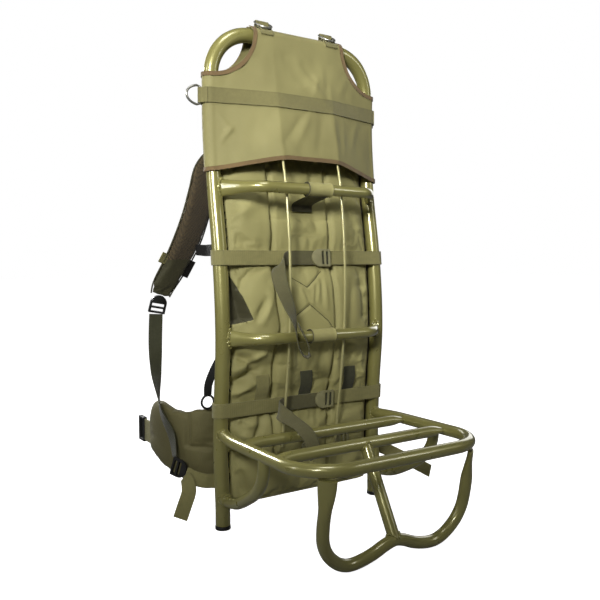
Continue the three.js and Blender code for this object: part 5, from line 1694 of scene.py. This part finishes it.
# %% Hip belt
BELT_ROWS = [
    (0, 64.8, 56, 186, 22), (70, 64.8, 55, 187, 22), (125, 68.5, 54, 192, 22), (162, 82, 54, 196, 22),
    (183, 108, 57, 188, 21), (195, 142, 66, 192, 21), (201, 178, 78, 195, 21), (203, 206, 90, 184, 19),
    (203, 222, 98, 152, 12),
]
BELT_TIP = 203
STUB_Y, STUB_Z, STUB_WIDE, STUB_WALL = (218, 258), 123, 42, 3
BELT_SIDES, BELT_VOXEL, BELT_CAP = 28, 0.005, 4.5
BELT_CREASE = [(188, 192), (189, 126), (150, 122)]
CREASE_WIDE, CREASE_DEEP = 3.2, 5.0
belt_table = [(x, y, 0, low, high, thick) for x, y, low, high, thick in BELT_ROWS]
belt_table = [sideways(row, -1) for row in reversed(belt_table[1:])] + belt_table
belt_path = flow(belt_table, 7)
belt_rings = []
for k, (x, y, z, low, high, thick) in enumerate(belt_path):
    side_way, face_way = side_and_face([(p[0], p[1], 0) for p in belt_path], k, (0, 0, 1))
    middle, half = Vector((x, y, (low + high) / 2)), (high - low) / 2 - 1
    ring = []
    for step in range(BELT_SIDES):
        turn = math.tau * (step + 0.5) / BELT_SIDES
        rise = bowed(math.sin(turn), 0.5)
        deep = bowed(math.cos(turn), 0.7)
        ring.append(middle + face_way * (deep * (thick - 2) / 2) + Vector((0, 0, rise * half)))
    belt_rings.append(ring)


def belt_held(x, y, z):
    return 1.0 if abs(x) < 130 and y < 66 or y > 214 else 0.0


belt = rolled("belt_foam", belt_rings)
voxels(belt, BELT_VOXEL)
puff(belt, belt_held, BELT_CAP)
rounded(belt)
for hand in (-1, 1):
    crease = legs([[(hand * x, z) for x, z in BELT_CREASE]])
    inward = (-0.7 * hand, 0.7, 0)
    drawn_in(belt, crease, CREASE_WIDE, CREASE_DEEP, inward, lambda p: p[:, 0] * hand > 140)
# Painted shade: the belt gets the much darker copy of the cloth.
belt_parts = [finished_in(belt, SHADED_BELT_CLOTH)]
for hand in (-1, 1):
    path = [(hand * BELT_TIP, y, STUB_Z, 0, 0, 1) for y in np.linspace(*STUB_Y, 12)]
    belt_parts.append(finished_in(band("stub", path, STUB_WIDE, STUB_WALL), WEBBING))
whole_belt = dressed(joined("belt_foam", belt_parts), ["hip_belt"], None)
print("belt of", len(whole_belt.data.polygons), "faces")

# %% [markdown]
# At the belt's tips are two square buckle rims, a cube with a window cut through it and all edges rounded.
# Further back a small ring hangs on each flank of the pad, from a narrow black strap that twists as it goes.

# %% Belt buckles and rings
BUCKLE_HIGH, BUCKLE_LONG, BUCKLE_THICK, BUCKLE_WALL = 48, 26, 8, 5
BUCKLE_EDGE = 1.8


def block(name, deep, long, high):
    nothing_selected()
    bpy.ops.mesh.primitive_cube_add(size=1)
    made = bpy.context.object
    made.name = made.data.name = name
    made.scale = (deep * MM, long * MM, high * MM)
    bpy.ops.object.transform_apply(location=False, rotation=False, scale=True)
    return made


def rim_buckle(name, middle):
    rim = block(name, BUCKLE_THICK, BUCKLE_LONG, BUCKLE_HIGH)
    inner_long, inner_high = BUCKLE_LONG - 2 * BUCKLE_WALL, BUCKLE_HIGH - 2 * BUCKLE_WALL
    cut_with(rim, block("window", 3 * BUCKLE_THICK, inner_long, inner_high))
    rounded_edges(rim, BUCKLE_EDGE, 4)
    smooth_shaded(rim, 45)
    rim.data.transform(Matrix.Translation(spot(*middle)))
    return rim


BELT_RING = (163, 63, 206)
BELT_RING_RADIUS, BELT_RING_WIRE, HANGER_WIDE = 11.5, 2, 14
BELT_RING_STRAP = [
    (163, 63, 217, 1, 0, 0), (164, 58, 236, 0.9, 0.4, 0.1),
    (161.5, 46, 260, 0.5, 0.75, 0.4), (157.2, 33, 284, 0, 0.88, 0.47),
]


def handed(rows, hand):
    return [(hand * r[0], r[1], r[2], hand * r[3], *r[4:]) for r in rows]


for side, hand in SIDES:
    buckle_y = STUB_Y[1] + STRAP_GAP + BUCKLE_LONG / 2
    rim = rim_buckle(side + "_rim_buckle", (hand * BELT_TIP, buckle_y, STUB_Z))
    dressed(rim, [side + "_belt_buckle"], BLACK)
    circle = ring_of(sideways(BELT_RING, hand), BELT_RING_RADIUS, 40, (1, 0, 0), (0, 0, 1))
    wire_ring = finished_in(bent_tube("ring", circle, BELT_RING_WIRE, 12, loop=True), BLACK)
    hanger = band("hanger", flow(handed(BELT_RING_STRAP, hand), 4), HANGER_WIDE)
    whole = joined(side + "_ring_hanger", [wire_ring, finished_in(hanger, BLACK_WEBBING)])
    dressed(whole, [side + "_belt_ring"], None)
print("two buckles and two hanging rings")

# %% [markdown]
# A shoulder strap leaves the pad, turns over the shoulder and comes down in front of the wearer. Each row of
# its table gives a place, the way its width points, the width and the thickness. It is lofted and puffed up,
# its outer face gets plain cloth and its inner face the net, with a dark patch at the lower end, and piping
# covers both edges.

# %% Shoulder straps
SHOULDER_ROWS = [
    (64, 76.2, 566, 1, 0, 0, 52, 8), (68, 85, 606, 1, 0, 0.1, 60, 11),
    (77, 112, 638, 0.97, -0.2, 0.15, 64, 13), (95, 136, 640, 0.9, -0.35, 0.25, 66, 13),
    (115, 153, 615, 0.88, -0.38, 0.28, 67, 13), (124, 163, 574, 0.9, -0.38, 0.2, 67, 13),
    (134, 170, 530, 0.92, -0.36, 0.15, 67, 13), (148, 177, 486, 0.92, -0.34, 0.2, 66, 13),
    (167, 187, 442, 0.9, -0.34, 0.28, 60, 12), (185, 200, 404, 0.95, -0.12, 0.26, 46, 10),
    (190, 206, 386, 0.96, 0.1, 0.15, 36, 7),
]
SEWN_ROW = SHOULDER_ROWS[8]
STRAP_SIDES, STRAP_VOXEL, STRAP_CAP, STRAP_PRESSURE = 24, 0.004, 2.5, 5.0
PIPING_RADIUS = 1.5
DARK_BELOW, OUTER_FROM = 452, 1.5


def shoulder_held(x, y, z):
    return 1.0 if z < 395 or y < 84 else 0.0


def shoulder_foam(side, path):
    rings, edges = [], ([], [])
    for k, row in enumerate(path):
        side_way, face_way = side_and_face(path, k, row[3:6])
        width, thick = row[6] - 1, row[7] - 1
        ring = []
        for step in range(STRAP_SIDES):
            turn = math.tau * (step + 0.5) / STRAP_SIDES
            wide = bowed(math.cos(turn), 0.6) * width / 2
            deep = bowed(math.sin(turn), 0.7) * thick / 2
            ring.append(Vector(row[:3]) + side_way * wide + face_way * deep)
        rings.append(ring)
        for edge, share in zip(edges, (-0.5, 0.5)):
            edge.append(tuple(Vector(row[:3]) + side_way * (share * (width + 1))))
    foam = rolled(side + "_shoulder_foam", rings)
    voxels(foam, STRAP_VOXEL)
    puff(foam, shoulder_held, STRAP_CAP, STRAP_PRESSURE)
    rounded(foam)
    finished_in(foam, NET, DARK_CLOTH_AND_SHADE, CLOTH)
    spots = [Vector(row[:3]) for row in path]
    faces = [side_and_face(path, k, row[3:6])[1] for k, row in enumerate(path)]
    outer = 1 if faces[len(faces) // 2].y > 0 else -1
    line = np.array([tuple(p) for p in spots])
    for polygon in foam.data.polygons:
        middle = in_drawing(polygon.center)
        near = int(np.argmin(((line - middle) ** 2).sum(1)))
        away = (Vector(middle) - spots[near]).dot(faces[near]) * outer
        polygon.material_index = 2 if away > OUTER_FROM else (1 if middle[2] < DARK_BELOW else 0)
    piping = [finished_in(bent_tube("piping", edge, PIPING_RADIUS, 10), DARK_CLOTH_AND_SHADE) for edge in edges]
    return joined(side + "_shoulder_foam", [foam, *piping])


def sewn_piece(path, hand, share_from, share_to, width, wall):
    mark = Vector(sideways(SEWN_ROW[:3], hand))
    k = min(range(len(path)), key=lambda i: (Vector(path[i][:3]) - mark).length)
    side_way, face_way = side_and_face(path, k, path[k][3:6])
    along = side_way.cross(face_way)
    shares = np.linspace(share_from, share_to, 8)
    points = [Vector(path[k][:3]) + side_way * (share * path[k][6]) for share in shares]
    return band("sewn", [(*p, *along) for p in points], width, wall)


for side, hand in SIDES:
    path = flow(handed(SHOULDER_ROWS, hand), 6)
    foam = shoulder_foam(side, path)
    tab = finished_in(sewn_piece(path, hand, 0.4, 0.68, 20, WEB_WALL), WEBBING)
    plate = finished_in(sewn_piece(path, hand, -0.36, -0.66, 34, 5), BLACK)
    whole = joined(side + "_shoulder_foam", [foam, tab, plate])
    dressed(whole, [side + "_shoulder_strap"], None)
print("two shoulder straps with their sewn tabs and plates")

# %% [markdown]
# The rest of the harness is webbing and locks: from each shoulder strap down to the belt, forward to the
# frame, and the loose ends that hang free.

# %% Harness webbing
SIDE_WEB = [
    (196, 214, 350.2, 0.95, 0.2, 0), (199, 211, 300, 0.95, 0.3, 0), (204, 197, 250, 0.95, -0.3, 0),
    (211, 173, 213, 0.6, -0.8, 0.1), (214.5, 147, 178, 0.2, -0.9, 0.4), (207, 119, 142, -0.05, -0.78, 0.62),
    (207, 105.3, 106.4, 0.1, -0.76, 0.64),
]
ANCHOR_WEB = [
    (157.2, 34, 70, 0, 0.1, 1), (159, 45, 71, 0, 0, 1), (174, 51, 72, 0, 0, 1),
    (188, 61, 76, 0.1, 0.2, 0.97), (199, 77, 82, 0.1, 0.35, 0.93),
]
LEFT_TAIL = [
    (203.4, 73.9, 79, 0.3, 0.75, -0.5), (201, 65, 71, 0.6, 0.7, 0), (201, 60, 56, 0.787, 0.514, 0.34),
    (208, 60, 36, 0.787, 0.514, 0.34), (216, 64, 10, 0.787, 0.514, 0.34),
]
RIGHT_TAIL = [
    (203.9, 73.4, 78.6, 0.05, 0.3, 0.95), (214, 45, 74, 0.05, 0.2, 0.97),
    (226, 5, 65, 0, 0.1, 1), (240, -66, 50, 0, 0, 1),
]
LIFTER = [
    (157.2, 36, 468, 0, 0, 1), (156.6, 60, 468, 0, 0, 1), (148, 100, 468, 0, 0, 1),
    (138, 140, 469, 0, 0, 1), (129.5, 177.6, 470, 0, 0.2, 1),
]
LIFTER_WIDE = 20
ANCHOR_LOCK, ANCHOR_LOCK_SIZE = (205, 90, 89), (30, 32, 6)
SHOULDER_DROP, SHOULDER_LOCK_SIZE = 17.9, (34, 31, 6)


def harness_band(name, rows, hand, node, finish, width=WEB_WIDTH):
    piece = band(name, flow(handed(rows, hand), 5), width)
    return dressed(piece, [node], finish)


def harness_lock(name, middle, lengthwise, across, size, node):
    lengthwise, across = Vector(lengthwise).normalized(), Vector(across)
    across = (across - lengthwise * across.dot(lengthwise)).normalized()
    facing = lengthwise.cross(across).normalized()
    plate = lock_plate(name, *size)
    set_plate(plate, Vector(middle) - facing * (size[2] / 2), lengthwise, facing)
    return dressed(plate, [node], BLACK)


for side, hand in SIDES:
    harness_band(side + "_drop_web", SIDE_WEB, hand, side + "_side_webbing", DARK_WEBBING)
    harness_band(side + "_anchor_web", ANCHOR_WEB, hand, side + "_anchor_strap", WEBBING)
    tail_rows = LEFT_TAIL if hand < 0 else RIGHT_TAIL
    harness_band(side + "_free_tail", tail_rows, hand, side + "_belt_tail", WEBBING)
    lifter_node = side + "_lifter_strap"
    harness_band(side + "_lift_web", LIFTER, hand, lifter_node, BLACK_WEBBING, LIFTER_WIDE)
    end, start = SHOULDER_ROWS[-1], SIDE_WEB[0]
    top = Vector(sideways(end[:3], hand))
    down = (Vector(sideways(start[:3], hand)) - top).normalized()
    harness_lock(
        side + "_drop_lock", top + down * SHOULDER_DROP, down, sideways(end[3:6], hand),
        SHOULDER_LOCK_SIZE, side + "_shoulder_lock",
    )
    before, after = Vector(ANCHOR_WEB[-2][:3]), Vector(ANCHOR_WEB[-1][:3])
    harness_lock(
        side + "_hip_lock", sideways(ANCHOR_LOCK, hand), sideways(after - before, hand), (0, 0, 1),
        ANCHOR_LOCK_SIZE, side + "_anchor_lock",
    )
print("harness webbing and locks")
